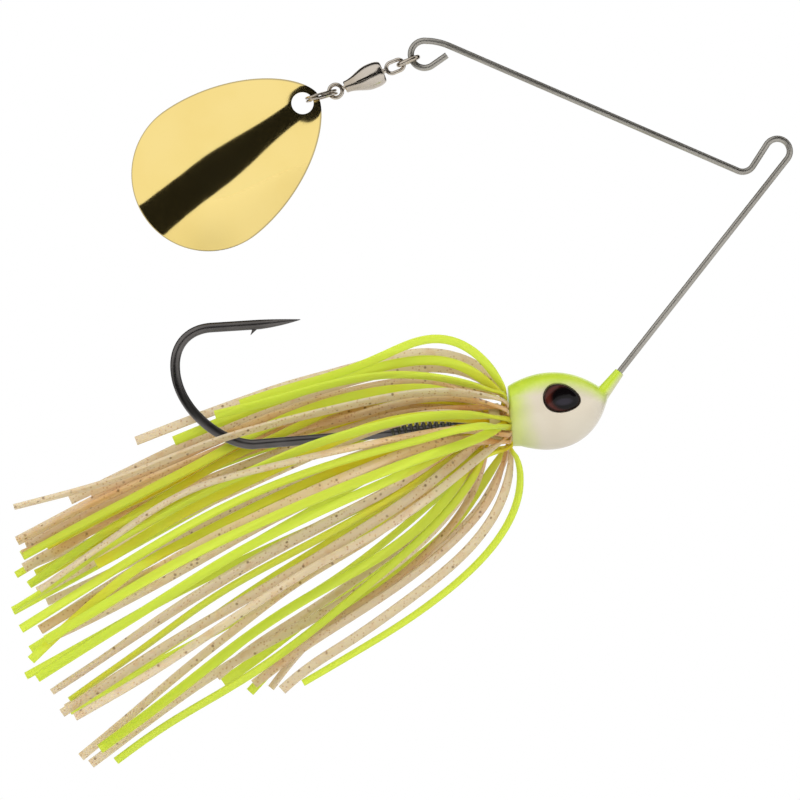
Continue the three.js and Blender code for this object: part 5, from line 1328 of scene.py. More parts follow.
class Crowd:
    """All lines of the skirt as one set of points and segments, which push each other apart."""

    def __init__(self, strands, guides):
        self.points = np.concatenate([line["points"] for line in strands + guides])
        self.radii = np.concatenate([line["radii"] for line in strands + guides])
        self.free = np.zeros(len(self.points), bool)
        first, second, owner, tab = [], [], [], []
        start = 0
        for number, line in enumerate(strands + guides):
            count = len(line["points"])
            held = line.get("held")
            if held is not None:
                self.free[start + held:start + count] = True
            low = 0 if held is None else held - 1
            for k in range(low, count - 1):
                first.append(start + k)
                second.append(start + k + 1)
                owner.append(number)
                tab.append(-1 - number if held is None else line["tab"] if k == low else -100 - number)
            start += count
        self.first, self.second = np.array(first), np.array(second)
        self.owner, self.root_tab = np.array(owner), np.array(tab)
        self.counts = [len(line["points"]) for line in strands]

    def pairs(self):
        """Segments of different lines that may be too near each other."""
        a, b = self.points[self.first], self.points[self.second]
        middle = (a + b) / 2
        size = np.linalg.norm(b - a, axis=1) / 2 + np.maximum(self.radii[self.first], self.radii[self.second]) * 1.2
        gap = np.linalg.norm(middle[:, None] - middle[None], axis=2)
        near = gap < size[:, None] + size[None]
        near &= self.owner[:, None] < self.owner[None]
        near &= self.root_tab[:, None] != self.root_tab[None]
        return np.nonzero(near)

    def round(self):
        """Moves the lines one step apart and returns the number of places that were too near."""
        one, two = self.pairs()
        a, b = self.points[self.first[one]], self.points[self.second[one]]
        c, d = self.points[self.first[two]], self.points[self.second[two]]
        u, v, w = b - a, d - c, a - c
        uu, vv, uv = (u * u).sum(1), (v * v).sum(1), (u * v).sum(1)
        vw, uw = (v * w).sum(1), (u * w).sum(1)
        area = np.maximum(uu * vv - uv ** 2, 1e-9)
        s = np.clip((uv * vw - vv * uw) / area, 0, 1)
        t = np.clip((uv * s + vw) / vv, 0, 1)
        s = np.clip((uv * t - uw) / uu, 0, 1)
        gap = w + u * s[:, None] - v * t[:, None]
        far = np.maximum(np.linalg.norm(gap, axis=1), 1e-6)
        radii = self.radii
        size = radii[self.first[one]] * (1 - s) + radii[self.second[one]] * s
        size = size + radii[self.first[two]] * (1 - t) + radii[self.second[two]] * t
        need = size * (1 + STRAND_SPACE)
        lack = need - far
        level = np.minimum(np.hypot(gap[:, 0], gap[:, 1]), need)
        aside = np.clip(np.sqrt(need ** 2 - level ** 2) - np.abs(gap[:, 2]), 0, MOST_PARTING)
        push = gap / far[:, None] * (lack * PLANE_SHARE)[:, None]
        push[:, 2] += np.where(gap[:, 2] < 0, -1, 1) * aside * (1 - PLANE_SHARE)
        push *= np.where(lack > 0, 0.5, 0)[:, None]
        moves = np.zeros_like(self.points)
        np.add.at(moves, self.first[one], push * (1 - s)[:, None])
        np.add.at(moves, self.second[one], push * s[:, None])
        np.add.at(moves, self.first[two], -push * (1 - t)[:, None])
        np.add.at(moves, self.second[two], -push * t[:, None])
        moves = np.clip(moves, -MOST_MOVE, MOST_MOVE)
        smooth = moves * 0.5
        smooth[1:] += moves[:-1] * 0.25
        smooth[:-1] += moves[1:] * 0.25
        self.points[self.free] += smooth[self.free]
        return int((lack > 0).sum())

    def lines(self):
        """The points of each strand again."""
        return np.split(self.points[:sum(self.counts)], np.cumsum(self.counts)[:-1])


def smooth_line(points, count, ease=1.0):
    """Points on a smooth curve through the given ones. An ease over 1 packs them towards the start."""
    ends = np.concatenate([[2 * points[0] - points[1]], points, [2 * points[-1] - points[-2]]])
    fine = []
    for k in range(1, len(ends) - 2):
        p0, p1, p2, p3 = ends[k - 1:k + 3]
        for t in np.linspace(0, 1, CURVE_STEPS, endpoint=False):
            fine.append(0.5 * (2 * p1 + (p2 - p0) * t + (2 * p0 - 5 * p1 + 4 * p2 - p3) * t * t
                               + (3 * p1 - p0 - 3 * p2 + p3) * t ** 3))
    fine.append(points[-1])
    fine = np.array(fine)
    gone = np.concatenate([[0], np.cumsum(np.linalg.norm(np.diff(fine, axis=0), axis=1))])
    even = np.linspace(0, 1, count) ** ease * gone[-1]
    return np.stack([np.interp(even, gone, fine[:, axis]) for axis in range(3)], axis=1)


def ribbon(points, out, number, width, thickness):
    """Rings of a flat strand with eased corners, that swells from its root and turns a little on its way."""
    sizes = strand_sizes(points) ** ROOT_FULLNESS
    gone = np.concatenate([[0], np.cumsum(np.linalg.norm(np.diff(points, axis=0), axis=1))])
    way = np.gradient(points, axis=0)
    way /= np.linalg.norm(way, axis=1)[:, None]
    across = np.cross(way[0], out)
    rings = []
    lean = 0
    for k, point in enumerate(points):
        across = across - way[k] * np.dot(across, way[k])
        across /= np.linalg.norm(across)
        over = np.cross(way[k], across)
        flat = np.cross(way[k], (0, 0, 1))
        found = math.atan2(np.dot(flat, over), np.dot(flat, across))
        lean = found + math.pi * round((lean - found) / math.pi)
        turn = FACING * lean * min(gone[k] / FACING_LENGTH, 1)
        turn += math.radians(TWIST_JITTER * jitter(number, USE_TWIST)) * max(sizes[k] * 2 - 1, 0)
        turn += math.radians(TIP_TWIST * jitter(number, USE_TIP)) * (k / len(points)) ** 2
        a = across * math.cos(turn) + over * math.sin(turn)
        b = over * math.cos(turn) - across * math.sin(turn)
        w = sizes[k] * width / 2 * (1 + sizes[k] * WIDTH_JITTER * jitter(number, USE_WIDTH))
        t = sizes[k] * thickness / 2
        rings.append([point + a * (x * w) + b * (y * t) for x, y in STRAND_SECTION])
    return rings


class SPINNERBAIT_OT_skirt(Operator):
    """Lays out the silicone strands, lets them push apart, and skins them tab by tab"""

    bl_idname = "spinnerbait.skirt"
    bl_label = "Skirt"

    def execute(self, context):
        sizes, hook = context.scene.spinnerbait_skirt, context.scene.spinnerbait_hook
        width, thickness = sizes.strand_width / MM, sizes.strand_thickness / MM
        strands = all_strands(math.hypot(width, thickness) / 2)
        crowd = Crowd(strands, hook_guides(hook.diameter, hook.gap, hook.keeper_wire))
        rounds = SETTLE_ROUNDS
        for _ in range(rounds):
            if crowd.round() == 0:
                break
        for strand, points in zip(strands, crowd.lines()):
            strand["points"] = smooth_line(points, RINGS, RING_EASE)
        for strand in strands:
            strand["crowding"] = self.crowding(strand, strands)
        for tab in range(TAB_COUNT):
            self.tab(tab, [s for s in strands if s["tab"] == tab], width, thickness)
        return {"FINISHED"}

    def tab(self, tab, strands, width, thickness):
        """One tab: the slice under the band with all its strands."""
        points, faces = self.slice(360 / TAB_COUNT * (tab + 0.5))
        crowding = [1.0] * len(points)
        for strand in strands:
            rings = ribbon(strand["points"], out_from(strand["azimuth"]), strand["number"], width, thickness)
            skin(points, faces, rings)
            crowding += [share for share, ring in zip(strand["crowding"], rings) for _ in ring]
        pale = tab % 2 == 1
        kind = "pearl" if pale else "chartreuse"
        number = tab // 2 + 1
        place = np.array(points) @ skirt_axes() * MM + np.array(hook_eye())
        piece = mesh_piece(f"{kind}_strands_{number}", place, faces)
        piece.data.attributes.new("crowding", "FLOAT", "POINT").data.foreach_set("value", crowding)
        edit(piece)
        bpy.ops.mesh.normals_make_consistent(inside=False)
        bpy.ops.object.mode_set(mode="OBJECT")
        make = pearl_silicone if pale else green_silicone
        dress(piece, "bait", [f"skirt_tab_{kind}_{number}"], make, smooth=50)
        piece.visible_glossy = False

    def crowding(self, strand, strands):
        """How many other strands lie near each point of one, as a share. Those that lie outside it count most,
        because they filter the light that reaches it."""
        places = strand["points"]
        out = places - np.mean([other["points"] for other in strands], axis=0)
        out /= np.maximum(np.linalg.norm(out, axis=1), 0.5)[:, None]
        total = np.zeros(len(places))
        for other in strands:
            if other is not strand:
                way = other["points"][None] - places[:, None]
                gap = np.linalg.norm(way, axis=2)
                near = gap.argmin(axis=1)
                rows = np.arange(len(places))
                gap = gap[rows, near]
                outside = (way[rows, near] * out).sum(axis=1) / np.maximum(gap, 0.01)
                total += np.maximum(1 - gap / CROWD_REACH, 0) * np.clip(CROWD_OUTSIDE + outside, *CROWD_WEIGHTS)
        return np.clip(total / CROWD_FULL * (1 + TONE_JITTER * jitter(strand["number"], USE_TONE)), 0, 1)

    def slice(self, azimuth):
        """The sector of a ring round the neck that the band squeezes."""
        middle = TAB_INNER + TAB_THICKNESS / 2
        half = 180 / TAB_COUNT - math.degrees(TAB_GAP / 2 / middle)
        angles = [azimuth - half + 2 * half * k / TAB_STEPS for k in range(TAB_STEPS + 1)]
        outline = [(a, TAB_INNER) for a in angles] + [(a, TAB_INNER + TAB_THICKNESS) for a in angles[::-1]]
        points, faces = [], []
        rings = [[np.array([along, 0, 0]) + out_from(a) * r for a, r in outline]
                 for along in (TAB_START, TAB_START + TAB_LENGTH)]
        skin(points, faces, rings)
        return points, faces


class SPINNERBAIT_OT_band(Operator):
    """Stretches the band round the skirt's waist"""

    bl_idname = "spinnerbait.band"
    bl_label = "Skirt band"

    def execute(self, context):
        start = (TAB_START + TAB_LENGTH / 2 - BAND_WIDTH / 2) * MM
        profile = ring_profile(start, start + BAND_WIDTH * MM, BAND_INNER * MM, BAND_OUTER * MM)
        piece = lathe("waist_band", profile, hook_eye(), SHANK_HEADING, 64)
        bevel(piece, BAND_EDGE * MM, 4)
        dress(piece, "bait", ["skirt_band"], band_silicone)
        return {"FINISHED"}


# Swivel, rings and blade

UPPER_RING_DIAMETER = 3.6 * MM
UPPER_RING_WIRE = 0.7 * MM
UPPER_RING_STEPS = 72
UPPER_RING_SWEEP = 357  # degrees of the bent wire: its ends nearly meet
UPPER_RING_SEAM = 150  # where they meet
UPPER_RING_END_EDGE = 0.05 * MM
EYE_WIRE = 0.55 * MM
EYE_WIRE_SIDES = 16
UPPER_EYE_INSIDE = 1 * MM
UPPER_EYE_REACH = 1.55 * MM  # from the ring's wire to the closed end of the eye
BARREL_GAP = 0.25 * MM  # between the eye's closed end and the barrel
BARREL_LENGTH = 5.8 * MM
BARREL_RADIUS = 1.8 * MM
BARREL_TAIL_RADIUS = 0.85 * MM
BARREL_SHOULDER_RADIUS = 1.25 * MM
BARREL_WALL = 0.32 * MM
BARREL_SLOT = 0.2 * MM
BARREL_SLOT_LENGTH = 3.6 * MM
BARREL_EDGE = 0.03 * MM
# Shares of the barrel's length: where its outside is widest, where its taper starts and how far that runs, where
# its inside stops being wide and where it starts to taper, and where the slot starts
BARREL_WIDEST = 0.24
BARREL_TAPER_START = 0.32
BARREL_TAPER = 0.66
BARREL_HOLLOW_WIDE = 0.42
BARREL_HOLLOW_TAPER = 0.62
BARREL_SLOT_START = 0.07
BARREL_HOLLOW_SHARE = 0.82  # the hollow's radius there, before the wall, as a share of the widest radius
BARREL_TAIL_SHARE = 0.88  # the tail's rounded end as a share of its radius
BARREL_SHOULDER_STEPS = 12
BARREL_TAPER_STEPS = 24
SHAFT_SHARE = 0.4  # how far a shaft thins inside the wire of its eye, as a share of that wire
SPINDLE_RADIUS = 0.35 * MM
SPINDLE_HEAD_RADIUS = 1.15 * MM
SPINDLE_HEAD_THICKNESS = 0.4 * MM
BALL_COUNT = 6
BALL_RADIUS = 0.34 * MM
BALL_CIRCLE_RADIUS = 0.87 * MM
WASHER_THICKNESS = 0.2 * MM
WASHER_RADIUS = 1.25 * MM
WASHER_EDGE = 0.04 * MM
RACE_CLEARANCE = 0.06 * MM
TAIL_STEM_RADIUS = 0.3 * MM
TAIL_STOP_RADIUS = 0.575 * MM
TAIL_STOP_THICKNESS = 0.4 * MM
TAIL_EYE_INSIDE = 1.3 * MM
TAIL_EYE_START = 0.2 * MM
SPLIT_RING_DIAMETER = 4.7 * MM
SPLIT_RING_RADIAL = 0.5 * MM
SPLIT_RING_STRIP = 0.36 * MM
SPLIT_RING_GAP = 0.08 * MM
SPLIT_RING_SLACK = 0.02 * MM  # room for the facets of the tail eye at the end of its swing
SPLIT_RING_EDGE = 0.09 * MM
SPLIT_RING_STEPS = 168
SPLIT_STEP = (320, 358)  # degrees round the strip between which it steps from the first turn to the second
SPLIT_END = 668
SPLIT_REST = 0.25 * MM  # between the split ring and the round end of the eye that it hangs in
BLADE_TIP_POWER = 1.8
BLADE_SIDE_POWER = 0.63
BLADE_HOLE_RADIUS = 1.55 * MM
BLADE_HOLE_FROM_TIP = 2.5 * MM
BLADE_CUP_POWER = 2.3
BLADE_PLAY = 0.3 * MM  # between the split ring and the edge of the blade's hole
BLADE_SIDES = 144
BLADE_RINGS = 40
BLADE_EDGE = 0.12 * MM

RING_OFFSET = (UPPER_RING_DIAMETER - UPPER_RING_WIRE) / 2 - WIRE_RADIUS - UPPER_RING_WIRE / 2 - CLEARANCE
UPPER_EYE_HALF = UPPER_EYE_INSIDE / 2 + EYE_WIRE / 2
UPPER_EYE_TIP = -(UPPER_RING_WIRE / 2 + CLEARANCE + EYE_WIRE / 2)
UPPER_EYE_END = UPPER_EYE_REACH + EYE_WIRE / 2
BARREL_START = UPPER_EYE_END + EYE_WIRE / 2 + BARREL_GAP
BARREL_END = BARREL_START + BARREL_LENGTH
WASHER_START = BARREL_START + BARREL_WALL + RACE_CLEARANCE
BALL_MIDDLE = WASHER_START + WASHER_THICKNESS + RACE_CLEARANCE + BALL_RADIUS
SPINDLE_HEAD_START = BALL_MIDDLE + BALL_RADIUS + RACE_CLEARANCE
TAIL_EYE_HALF = TAIL_EYE_INSIDE / 2 + EYE_WIRE / 2
TAIL_EYE_AT = BARREL_END + TAIL_EYE_START + EYE_WIRE / 2
SPLIT_HALF = SPLIT_RING_STRIP + SPLIT_RING_GAP / 2


def swivel_point(along):
    """A point on the swivel's axis, from its distance behind the middle of the upper ring's rear wire."""
    return joint_place("barrel_spin") + heading(CHAIN_ANGLE) * along


def swivel_lathe(name, profile, steps):
    """A round part on the swivel's axis."""
    return lathe(name, profile, joint_place("barrel_spin"), CHAIN_ANGLE, steps)


class SPINNERBAIT_OT_upper_ring(Operator):
    """Closes the small link between the wire's loop and the swivel"""

    bl_idname = "spinnerbait.upper_ring"
    bl_label = "Upper ring"

    def execute(self, context):
        radius = (UPPER_RING_DIAMETER - UPPER_RING_WIRE) / 2
        piece = primitive("circle", "link_ring", vertices=20, radius=UPPER_RING_WIRE / 2, location=(radius, 0, 0),
                          rotation=(math.radians(90), 0, 0))
        edit(piece)
        bpy.ops.mesh.spin(
            steps=UPPER_RING_STEPS, angle=math.radians(UPPER_RING_SWEEP), center=(0, 0, 0), axis=(0, 0, 1))
        cap_ends(UPPER_RING_END_EDGE)
        close_edit()
        start = joint_place("ring_swing") + heading(CHAIN_ANGLE) * RING_OFFSET
        seam = Matrix.Rotation(math.radians(UPPER_RING_SEAM), 4, "Z")
        piece.data.transform(turned_frame(start, CHAIN_ANGLE) @ seam)
        dress(piece, "ring", ["upper_ring"], nickel_plate)
        return {"FINISHED"}


class SPINNERBAIT_OT_spindle(Operator):
    """Models the swivel's upper eye with its shaft and head"""

    bl_idname = "spinnerbait.spindle"
    bl_label = "Swivel spindle"

    def execute(self, context):
        straight = UPPER_EYE_END - UPPER_EYE_TIP - 2 * UPPER_EYE_HALF
        piece = eye_of_wire("spindle_eye", UPPER_EYE_HALF, straight, swivel_point(UPPER_EYE_TIP), CHAIN_ANGLE)
        head_end = SPINDLE_HEAD_START + SPINDLE_HEAD_THICKNESS
        profile = [
            (UPPER_EYE_END, 0), (UPPER_EYE_END, EYE_WIRE * SHAFT_SHARE),
            (UPPER_EYE_END + EYE_WIRE / 2, SPINDLE_RADIUS),
            (SPINDLE_HEAD_START, SPINDLE_RADIUS), (SPINDLE_HEAD_START, SPINDLE_HEAD_RADIUS),
            (head_end, SPINDLE_HEAD_RADIUS), (head_end, 0),
        ]
        join(piece, swivel_lathe("shaft", profile, 32))
        dress(piece, "spindle", ["swivel_spindle"], nickel_plate)
        return {"FINISHED"}


class SPINNERBAIT_OT_barrel(Operator):
    """Spins the swivel's barrel, hollows it and saws its slot"""

    bl_idname = "spinnerbait.barrel"
    bl_label = "Swivel barrel"

    def execute(self, context):
        wide, narrow, shoulder = BARREL_RADIUS, BARREL_TAIL_RADIUS, BARREL_SHOULDER_RADIUS
        outer = []
        for k in range(BARREL_SHOULDER_STEPS + 1):
            turn = math.radians(90 / BARREL_SHOULDER_STEPS * k)
            along = BARREL_START + BARREL_LENGTH * BARREL_WIDEST * (1 - math.cos(turn))
            outer.append((along, shoulder + (wide - shoulder) * math.sin(turn)))
        for k in range(1, BARREL_TAPER_STEPS + 1):
            share = k / BARREL_TAPER_STEPS
            taper = narrow + (wide - narrow) * (1 + math.cos(math.pi * share)) / 2
            outer.append((BARREL_START + BARREL_LENGTH * (BARREL_TAPER_START + BARREL_TAPER * share), taper))
        outer.append((BARREL_END, narrow * BARREL_TAIL_SHARE))
        bore_front, bore_back = SPINDLE_RADIUS + CLEARANCE, TAIL_STEM_RADIUS + CLEARANCE
        inner = [
            (BARREL_END, bore_back), (BARREL_END - 2 * BARREL_WALL, bore_back),
            (BARREL_END - 2 * BARREL_WALL, TAIL_STOP_RADIUS + CLEARANCE),
            (BARREL_START + BARREL_LENGTH * BARREL_HOLLOW_TAPER, wide * BARREL_HOLLOW_SHARE - BARREL_WALL),
            (BARREL_START + BARREL_LENGTH * BARREL_HOLLOW_WIDE, wide - BARREL_WALL),
            (BARREL_START + BARREL_WALL, WASHER_RADIUS + RACE_CLEARANCE),
            (BARREL_START + BARREL_WALL, bore_front), (BARREL_START, bore_front),
        ]
        piece = swivel_lathe("bearing_barrel", outer + inner + outer[:1], 64)
        middle = swivel_point(BARREL_START + BARREL_LENGTH * BARREL_SLOT_START + BARREL_SLOT_LENGTH / 2)
        saw = primitive(
            "cube", "saw", size=1, location=middle + Vector((0, -BARREL_RADIUS, 0)),
            rotation=(0, math.radians(-CHAIN_ANGLE), 0), scale=(BARREL_SLOT_LENGTH, BARREL_RADIUS * 2, BARREL_SLOT))
        cut(piece, saw)
        bevel(piece, BARREL_EDGE, 2, sharp=50)
        dress(piece, "barrel", ["swivel_barrel"], nickel_plate, smooth=35)
        return {"FINISHED"}


class SPINNERBAIT_OT_bearing(Operator):
    """Fills the barrel with its washer and balls"""

    bl_idname = "spinnerbait.bearing"
    bl_label = "Bearing"

    def execute(self, context):
        end = WASHER_START + WASHER_THICKNESS
        profile = ring_profile(WASHER_START, end, SPINDLE_RADIUS + CLEARANCE, WASHER_RADIUS)
        washer = swivel_lathe("race_washer", profile, 48)
        bevel(washer, WASHER_EDGE, 3)
        dress(washer, "barrel", ["bearing_washer"], nickel_plate)
        for k in range(BALL_COUNT):
            turn = 2 * math.pi * k / BALL_COUNT
            local = Vector((BALL_MIDDLE, BALL_CIRCLE_RADIUS * math.cos(turn), BALL_CIRCLE_RADIUS * math.sin(turn)))
            ball = primitive("ico_sphere", f"steel_ball_{k + 1}", subdivisions=3, radius=BALL_RADIUS,
                             location=turned_frame(joint_place("barrel_spin"), CHAIN_ANGLE) @ local)
            dress(ball, "balls", [f"bearing_ball_{k + 1}"], bearing_steel, smooth=60)
        return {"FINISHED"}


class SPINNERBAIT_OT_tail_eye(Operator):
    """Models the swivel's tail eye with its stem and stop"""

    bl_idname = "spinnerbait.tail_eye"
    bl_label = "Tail eye"

    def execute(self, context):
        piece = eye_of_wire("tail_eye_wire", TAIL_EYE_HALF, 0, swivel_point(TAIL_EYE_AT), CHAIN_ANGLE)
        stop = BARREL_END - 2 * BARREL_WALL - CLEARANCE - TAIL_STOP_THICKNESS
        stop_end = stop + TAIL_STOP_THICKNESS
        profile = [
            (stop, 0), (stop, TAIL_STOP_RADIUS), (stop_end, TAIL_STOP_RADIUS), (stop_end, TAIL_STEM_RADIUS),
            (TAIL_EYE_AT - EYE_WIRE / 2, TAIL_STEM_RADIUS), (TAIL_EYE_AT, EYE_WIRE * SHAFT_SHARE),
            (TAIL_EYE_AT, 0),
        ]
        cut(piece, swivel_lathe("stem", profile, 32), "UNION")
        dress(piece, "barrel", ["tail_eye"], nickel_plate)
        return {"FINISHED"}


class SPINNERBAIT_OT_split_ring(Operator):
    """Winds the split ring twice round from a flat strip"""

    bl_idname = "spinnerbait.split_ring"
    bl_label = "Split ring"

    def execute(self, context):
        radius = (SPLIT_RING_DIAMETER - SPLIT_RING_RADIAL) / 2
        pitch = SPLIT_RING_STRIP + SPLIT_RING_GAP
        r, h = SPLIT_RING_RADIAL / 2 - SPLIT_RING_SLACK, SPLIT_RING_STRIP / 2 - SPLIT_RING_SLACK
        ease = SPLIT_RING_EDGE
        section = [
            (-r + ease, -h), (r - ease, -h), (r, -h + ease), (r, h - ease),
            (r - ease, h), (-r + ease, h), (-r, h - ease), (-r, -h + ease)]
        rings = []
        for k in range(SPLIT_RING_STEPS + 1):
            turn = SPLIT_END * k / SPLIT_RING_STEPS
            share = min(max((turn - SPLIT_STEP[0]) / (SPLIT_STEP[1] - SPLIT_STEP[0]), 0), 1)
            climbed = share * share * (3 - 2 * share) - 0.5
            place = math.radians(turn + 90)
            rings.append([Vector((
                (radius + a) * math.cos(place), (radius + a) * math.sin(place), climbed * pitch + b))
                for a, b in section])
        piece = loft_piece("blade_split_ring", rings)
        depth = TAIL_EYE_HALF - math.sqrt((TAIL_EYE_INSIDE / 2) ** 2 - SPLIT_HALF ** 2)
        rest = depth + SPLIT_REST + SPLIT_RING_RADIAL / 2
        origin = joint_place("split_ring_swing") + heading(SPLIT_ANGLE) * (radius - rest)
        piece.data.transform(turned_frame(origin, SPLIT_ANGLE))
        dress(piece, "split", ["split_ring"], nickel_plate)
        return {"FINISHED"}


def blade_outline(turn, sizes):
    """The blade's outline about its widest place: x runs to the narrow tip, z is across."""
    lengthwise = math.cos(turn)
    if lengthwise < 0:
        return sizes.width / 2 * lengthwise, sizes.width / 2 * math.sin(turn)
    narrowing = max(0.0, 1 - lengthwise ** BLADE_TIP_POWER) ** BLADE_SIDE_POWER
    return sizes.tip_length * lengthwise, math.copysign(sizes.width / 2 * narrowing, math.sin(turn))


def blade_place(sizes):
    """The middle of the blade's widest place, and the angle of the way to its narrow tip."""
    hang = BLADE_HOLE_RADIUS - math.hypot(SPLIT_RING_RADIAL / 2, SPLIT_HALF) - BLADE_PLAY
    reach = hang + sizes.tip_length - BLADE_HOLE_FROM_TIP
    return joint_place("blade_swing") + heading(BLADE_ANGLE) * reach, BLADE_ANGLE + 180


class SPINNERBAIT_OT_blade(Operator):
    """Presses the cupped blade and punches its hole"""

    bl_idname = "spinnerbait.blade"
    bl_label = "Blade"

    def execute(self, context):
        sizes = context.scene.spinnerbait_blade
        hole_at = sizes.tip_length - BLADE_HOLE_FROM_TIP
        seat = self.cup(hole_at / sizes.tip_length, sizes)
        shares = [k / BLADE_RINGS for k in range(1, BLADE_RINGS + 1)]
        half = sizes.thickness / 2
        back = [self.ring(share, half, seat, sizes) for share in shares]
        front = [self.ring(share, -half, seat, sizes) for share in shares][::-1]
        piece = loft_piece("gold_blade", back + front)
        cut(piece, primitive("cylinder", "punch", vertices=64, radius=BLADE_HOLE_RADIUS, depth=sizes.cup * 3,
                             location=(hole_at, 0, 0), rotation=(math.radians(90), 0, 0)))
        bevel(piece, BLADE_EDGE, 3, sharp=50)
        piece.data.transform(turned_frame(*blade_place(sizes)))
        dress(piece, "spinner", ["blade"], gold_plate, smooth=35)
        return {"FINISHED"}

    def cup(self, share, sizes):
        """The cup's depth at a share of the way from its middle to its rim."""
        return sizes.cup * (1 - share ** BLADE_CUP_POWER)

    def ring(self, share, lift, seat, sizes):
        """The outline at a share of its size, laid on the cup, with the hole's middle on the blade's plane."""
        ring = []
        for k in range(BLADE_SIDES):
            x, z = blade_outline(2 * math.pi * k / BLADE_SIDES, sizes)
            ring.append(Vector((x * share, seat - self.cup(share, sizes) + lift, z * share)))
        return ring


# Stage

VIEW_WIDTH = 112 * MM  # what the camera sees in the lure's plane, from side to side
VIEW_CENTRE = Vector((-52.82 * MM, 0, -34.82 * MM))
CAMERA_DISTANCE = 0.9
SENSOR = 36
SHADE_LEVEL = 0.55
FLOOR_DROP = 26 * MM  # from the lure's lowest point
FLOOR_RADIUS = 0.3
FLOOR_GREY = 0.86
CARD_BLACK = 0.01
ROOM = 0.6  # how far off the lamps stand
# Each lamp's name, its way from the lure, its size and its power
LAMPS = [
    ("key_softbox", (-0.45, -0.75, 0.75), 0.45, 2.4),
    ("fill_softbox", (0.75, -0.7, 0.15), 0.4, 1.15),
    ("back_softbox", (0.1, 0.8, 0.9), 0.5, 1.8),
]
STRIP_REACH = 16 * MM  # from the blade's hinge to the strip's middle
STRIP_RADIUS = 0.14
STRIP_WIDTH = 0.52  # as a share of its radius
STRIP_END = 0.15  # how far from the blade's plane the strip ends, as a share of its radius
# By what factor the strip is broadened, at angles round the blade towards its tip
STRIP_ANGLES = [-72, -55, -33, 0, 16, 38, 43, 46, 50]
STRIP_GROWTH = [1.0, 1.1, 1.12, 0.98, 1.16, 1.2, 1.25, 1.7, 1.9]
DRUM_RADIUS = 0.34
DRUM_START = 0.06  # how far behind the lure the open drum starts
DRUM_DEPTH = 0.36


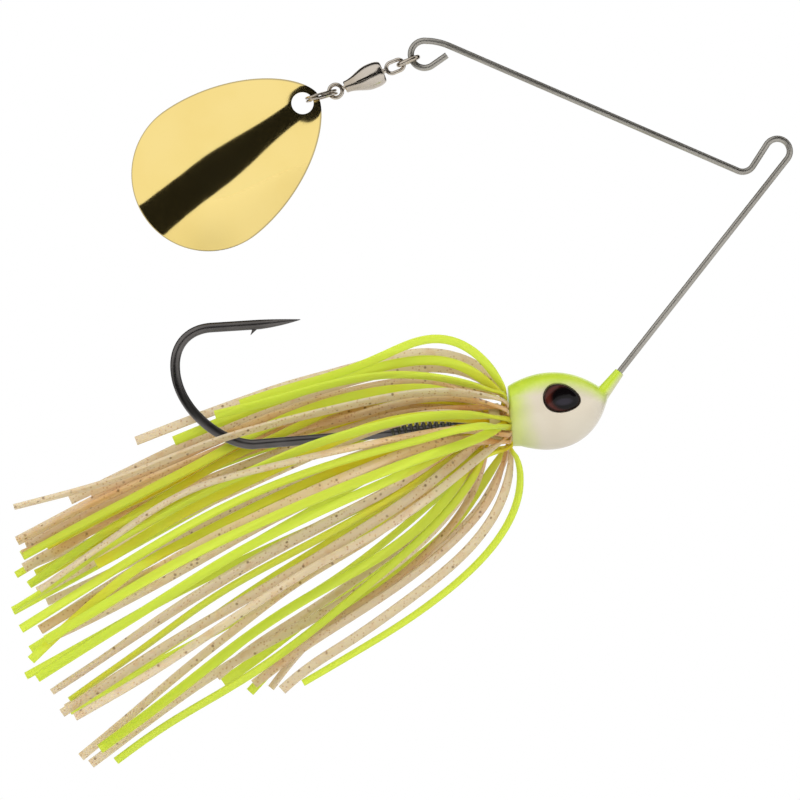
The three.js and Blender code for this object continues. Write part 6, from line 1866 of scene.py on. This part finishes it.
class SPINNERBAIT_OT_stage(Operator):
    """Sets up the camera, the lamps, the pale floor and the dark cards that metal mirrors"""

    bl_idname = "spinnerbait.stage"
    bl_label = "Studio"

    def execute(self, context):
        scene = context.scene
        scene.view_settings.view_transform = "Standard"
        self.camera(scene)
        self.world(scene)
        self.lamps()
        self.floor()
        self.cards()
        return {"FINISHED"}

    def camera(self, scene):
        data = bpy.data.cameras.new("front_camera")
        data.sensor_width = SENSOR
        data.lens = SENSOR * CAMERA_DISTANCE / VIEW_WIDTH
        data.clip_start = 0.01
        data.clip_end = 20
        camera = new_object("front_camera", data)
        camera.location = VIEW_CENTRE + Vector((0, -CAMERA_DISTANCE, 0))
        camera.rotation_euler = (math.radians(90), 0, 0)
        scene.camera = camera

    def world(self, scene):
        """A room that the camera, mirrors and clear things see as white, and that lights the rest more softly."""
        world = bpy.data.worlds.new("white_room")
        world.use_nodes = True
        scene.world = world
        nodes = Nodes(world.node_tree)
        camera = nodes.add("ShaderNodeLightPath", {}, {}, "Is Camera Ray")
        seen = camera.either(camera.sibling("Is Glossy Ray")).either(camera.sibling("Is Transmission Ray"))
        level = nodes.add("ShaderNodeMapRange", {}, {"Value": seen, "To Min": SHADE_LEVEL, "To Max": 1.0})
        background = world.node_tree.nodes["Background"]
        nodes.plug(background.inputs["Color"], (1, 1, 1))
        nodes.plug(background.inputs["Strength"], level)

    def lamps(self):
        for name, way, size, power in LAMPS:
            data = bpy.data.lights.new(name, "AREA")
            data.shape = "SQUARE"
            data.size = size
            data.energy = power
            lamp = new_object(name, data)
            lamp.visible_glossy = False
            lamp.location = VIEW_CENTRE + Vector(way) * ROOM
            lamp.rotation_euler = (VIEW_CENTRE - lamp.location).to_track_quat("-Z", "Y").to_euler()

    def plain(self, name, grey):
        """A stage material: one dull grey."""
        return Finish(name, Base_Color=(grey, grey, grey), Roughness=1.0).material

    def floor(self):
        floor = primitive("circle", "studio_floor", vertices=96, radius=FLOOR_RADIUS, fill_type="NGON",
                          location=(VIEW_CENTRE.x, 0, CAD_BOX[0].z - FLOOR_DROP))
        floor.data.materials.append(self.plain("floor_white", FLOOR_GREY))

    def cards(self):
        """Dark cards that only mirrors see: a strip bent round the blade's front, and an open drum behind the lure."""
        blade = joint_place("blade_swing") + heading(BLADE_ANGLE) * STRIP_REACH
        strip = primitive(
            "cylinder", "blade_card", vertices=144, radius=STRIP_RADIUS, depth=STRIP_RADIUS * STRIP_WIDTH,
            end_fill_type="NOTHING", location=blade,
            rotation=heading(BLADE_ANGLE + 90).to_track_quat("Z", "Y").to_euler())
        along, across = heading(BLADE_ANGLE + 180), heading(BLADE_ANGLE + 90)
        edit(strip)
        shape = bmesh.from_edit_mesh(strip.data)
        for corner in shape.verts:
            way = corner.co - blade
            turn = math.degrees(math.atan2(way.dot(along), -way.y))
            growth = float(np.interp(turn, STRIP_ANGLES, STRIP_GROWTH))
            corner.co += across * way.dot(across) * (growth - 1)
        for face in shape.faces:
            face.select_set(face.calc_center_median().y > -STRIP_RADIUS * STRIP_END)
        bmesh.update_edit_mesh(strip.data)
        bpy.ops.mesh.delete(type="FACE")
        bpy.ops.object.mode_set(mode="OBJECT")
        self.mirror_only(strip)
        self.mirror_only(primitive(
            "cylinder", "dark_drum", vertices=64, radius=DRUM_RADIUS, depth=DRUM_DEPTH, end_fill_type="NOTHING",
            location=VIEW_CENTRE + Vector((0, DRUM_START + DRUM_DEPTH / 2, 0)), rotation=(math.radians(90), 0, 0)))

    def mirror_only(self, card):
        """Blackens a card and hides it from all rays but those that a shiny surface sends on."""
        card.data.materials.append(self.plain(card.name + "_black", CARD_BLACK))
        for ray in ("camera", "diffuse", "shadow", "transmission", "volume_scatter"):
            setattr(card, f"visible_{ray}", False)


# Sidebar and registration

STEPS = (
    SPINNERBAIT_OT_stage, SPINNERBAIT_OT_wire, SPINNERBAIT_OT_hook, SPINNERBAIT_OT_keeper,
    SPINNERBAIT_OT_head, SPINNERBAIT_OT_eyes, SPINNERBAIT_OT_skirt, SPINNERBAIT_OT_band,
    SPINNERBAIT_OT_upper_ring, SPINNERBAIT_OT_spindle, SPINNERBAIT_OT_barrel, SPINNERBAIT_OT_bearing,
    SPINNERBAIT_OT_tail_eye, SPINNERBAIT_OT_split_ring, SPINNERBAIT_OT_blade,
)


class SPINNERBAIT_PT_sidebar(Panel):
    """Lists the steps that build the lure, with the sizes and colours that they read"""

    bl_idname = "SPINNERBAIT_PT_sidebar"
    bl_label = "Spinnerbait"
    bl_space_type = "VIEW_3D"
    bl_region_type = "UI"
    bl_category = "Spinnerbait"

    def draw(self, context):
        for step in STEPS:
            self.layout.operator(step.bl_idname, text=step.bl_label)
        for name, group in GROUPS:
            box = self.layout.box()
            for setting in group.__annotations__:
                box.prop(getattr(context.scene, name), setting)


GROUPS = (
    ("spinnerbait_wire", WireSizes), ("spinnerbait_hook", HookSizes), ("spinnerbait_head", HeadSizes),
    ("spinnerbait_skirt", SkirtSizes), ("spinnerbait_blade", BladeSizes),
    ("spinnerbait_colours", FinishColours),
)


def register():
    for name, group in GROUPS:
        bpy.utils.register_class(group)
        setattr(bpy.types.Scene, name, PointerProperty(type=group))
    for step in STEPS:
        bpy.utils.register_class(step)
    bpy.utils.register_class(SPINNERBAIT_PT_sidebar)


def unregister():
    bpy.utils.unregister_class(SPINNERBAIT_PT_sidebar)
    for step in reversed(STEPS):
        bpy.utils.unregister_class(step)
    for name, group in reversed(GROUPS):
        delattr(bpy.types.Scene, name)
        bpy.utils.unregister_class(group)


def main():
    register()
    for step in STEPS:
        family, action = step.bl_idname.split(".")
        getattr(getattr(bpy.ops, family), action)()
    deselect()


if __name__ == "__main__":
    main()
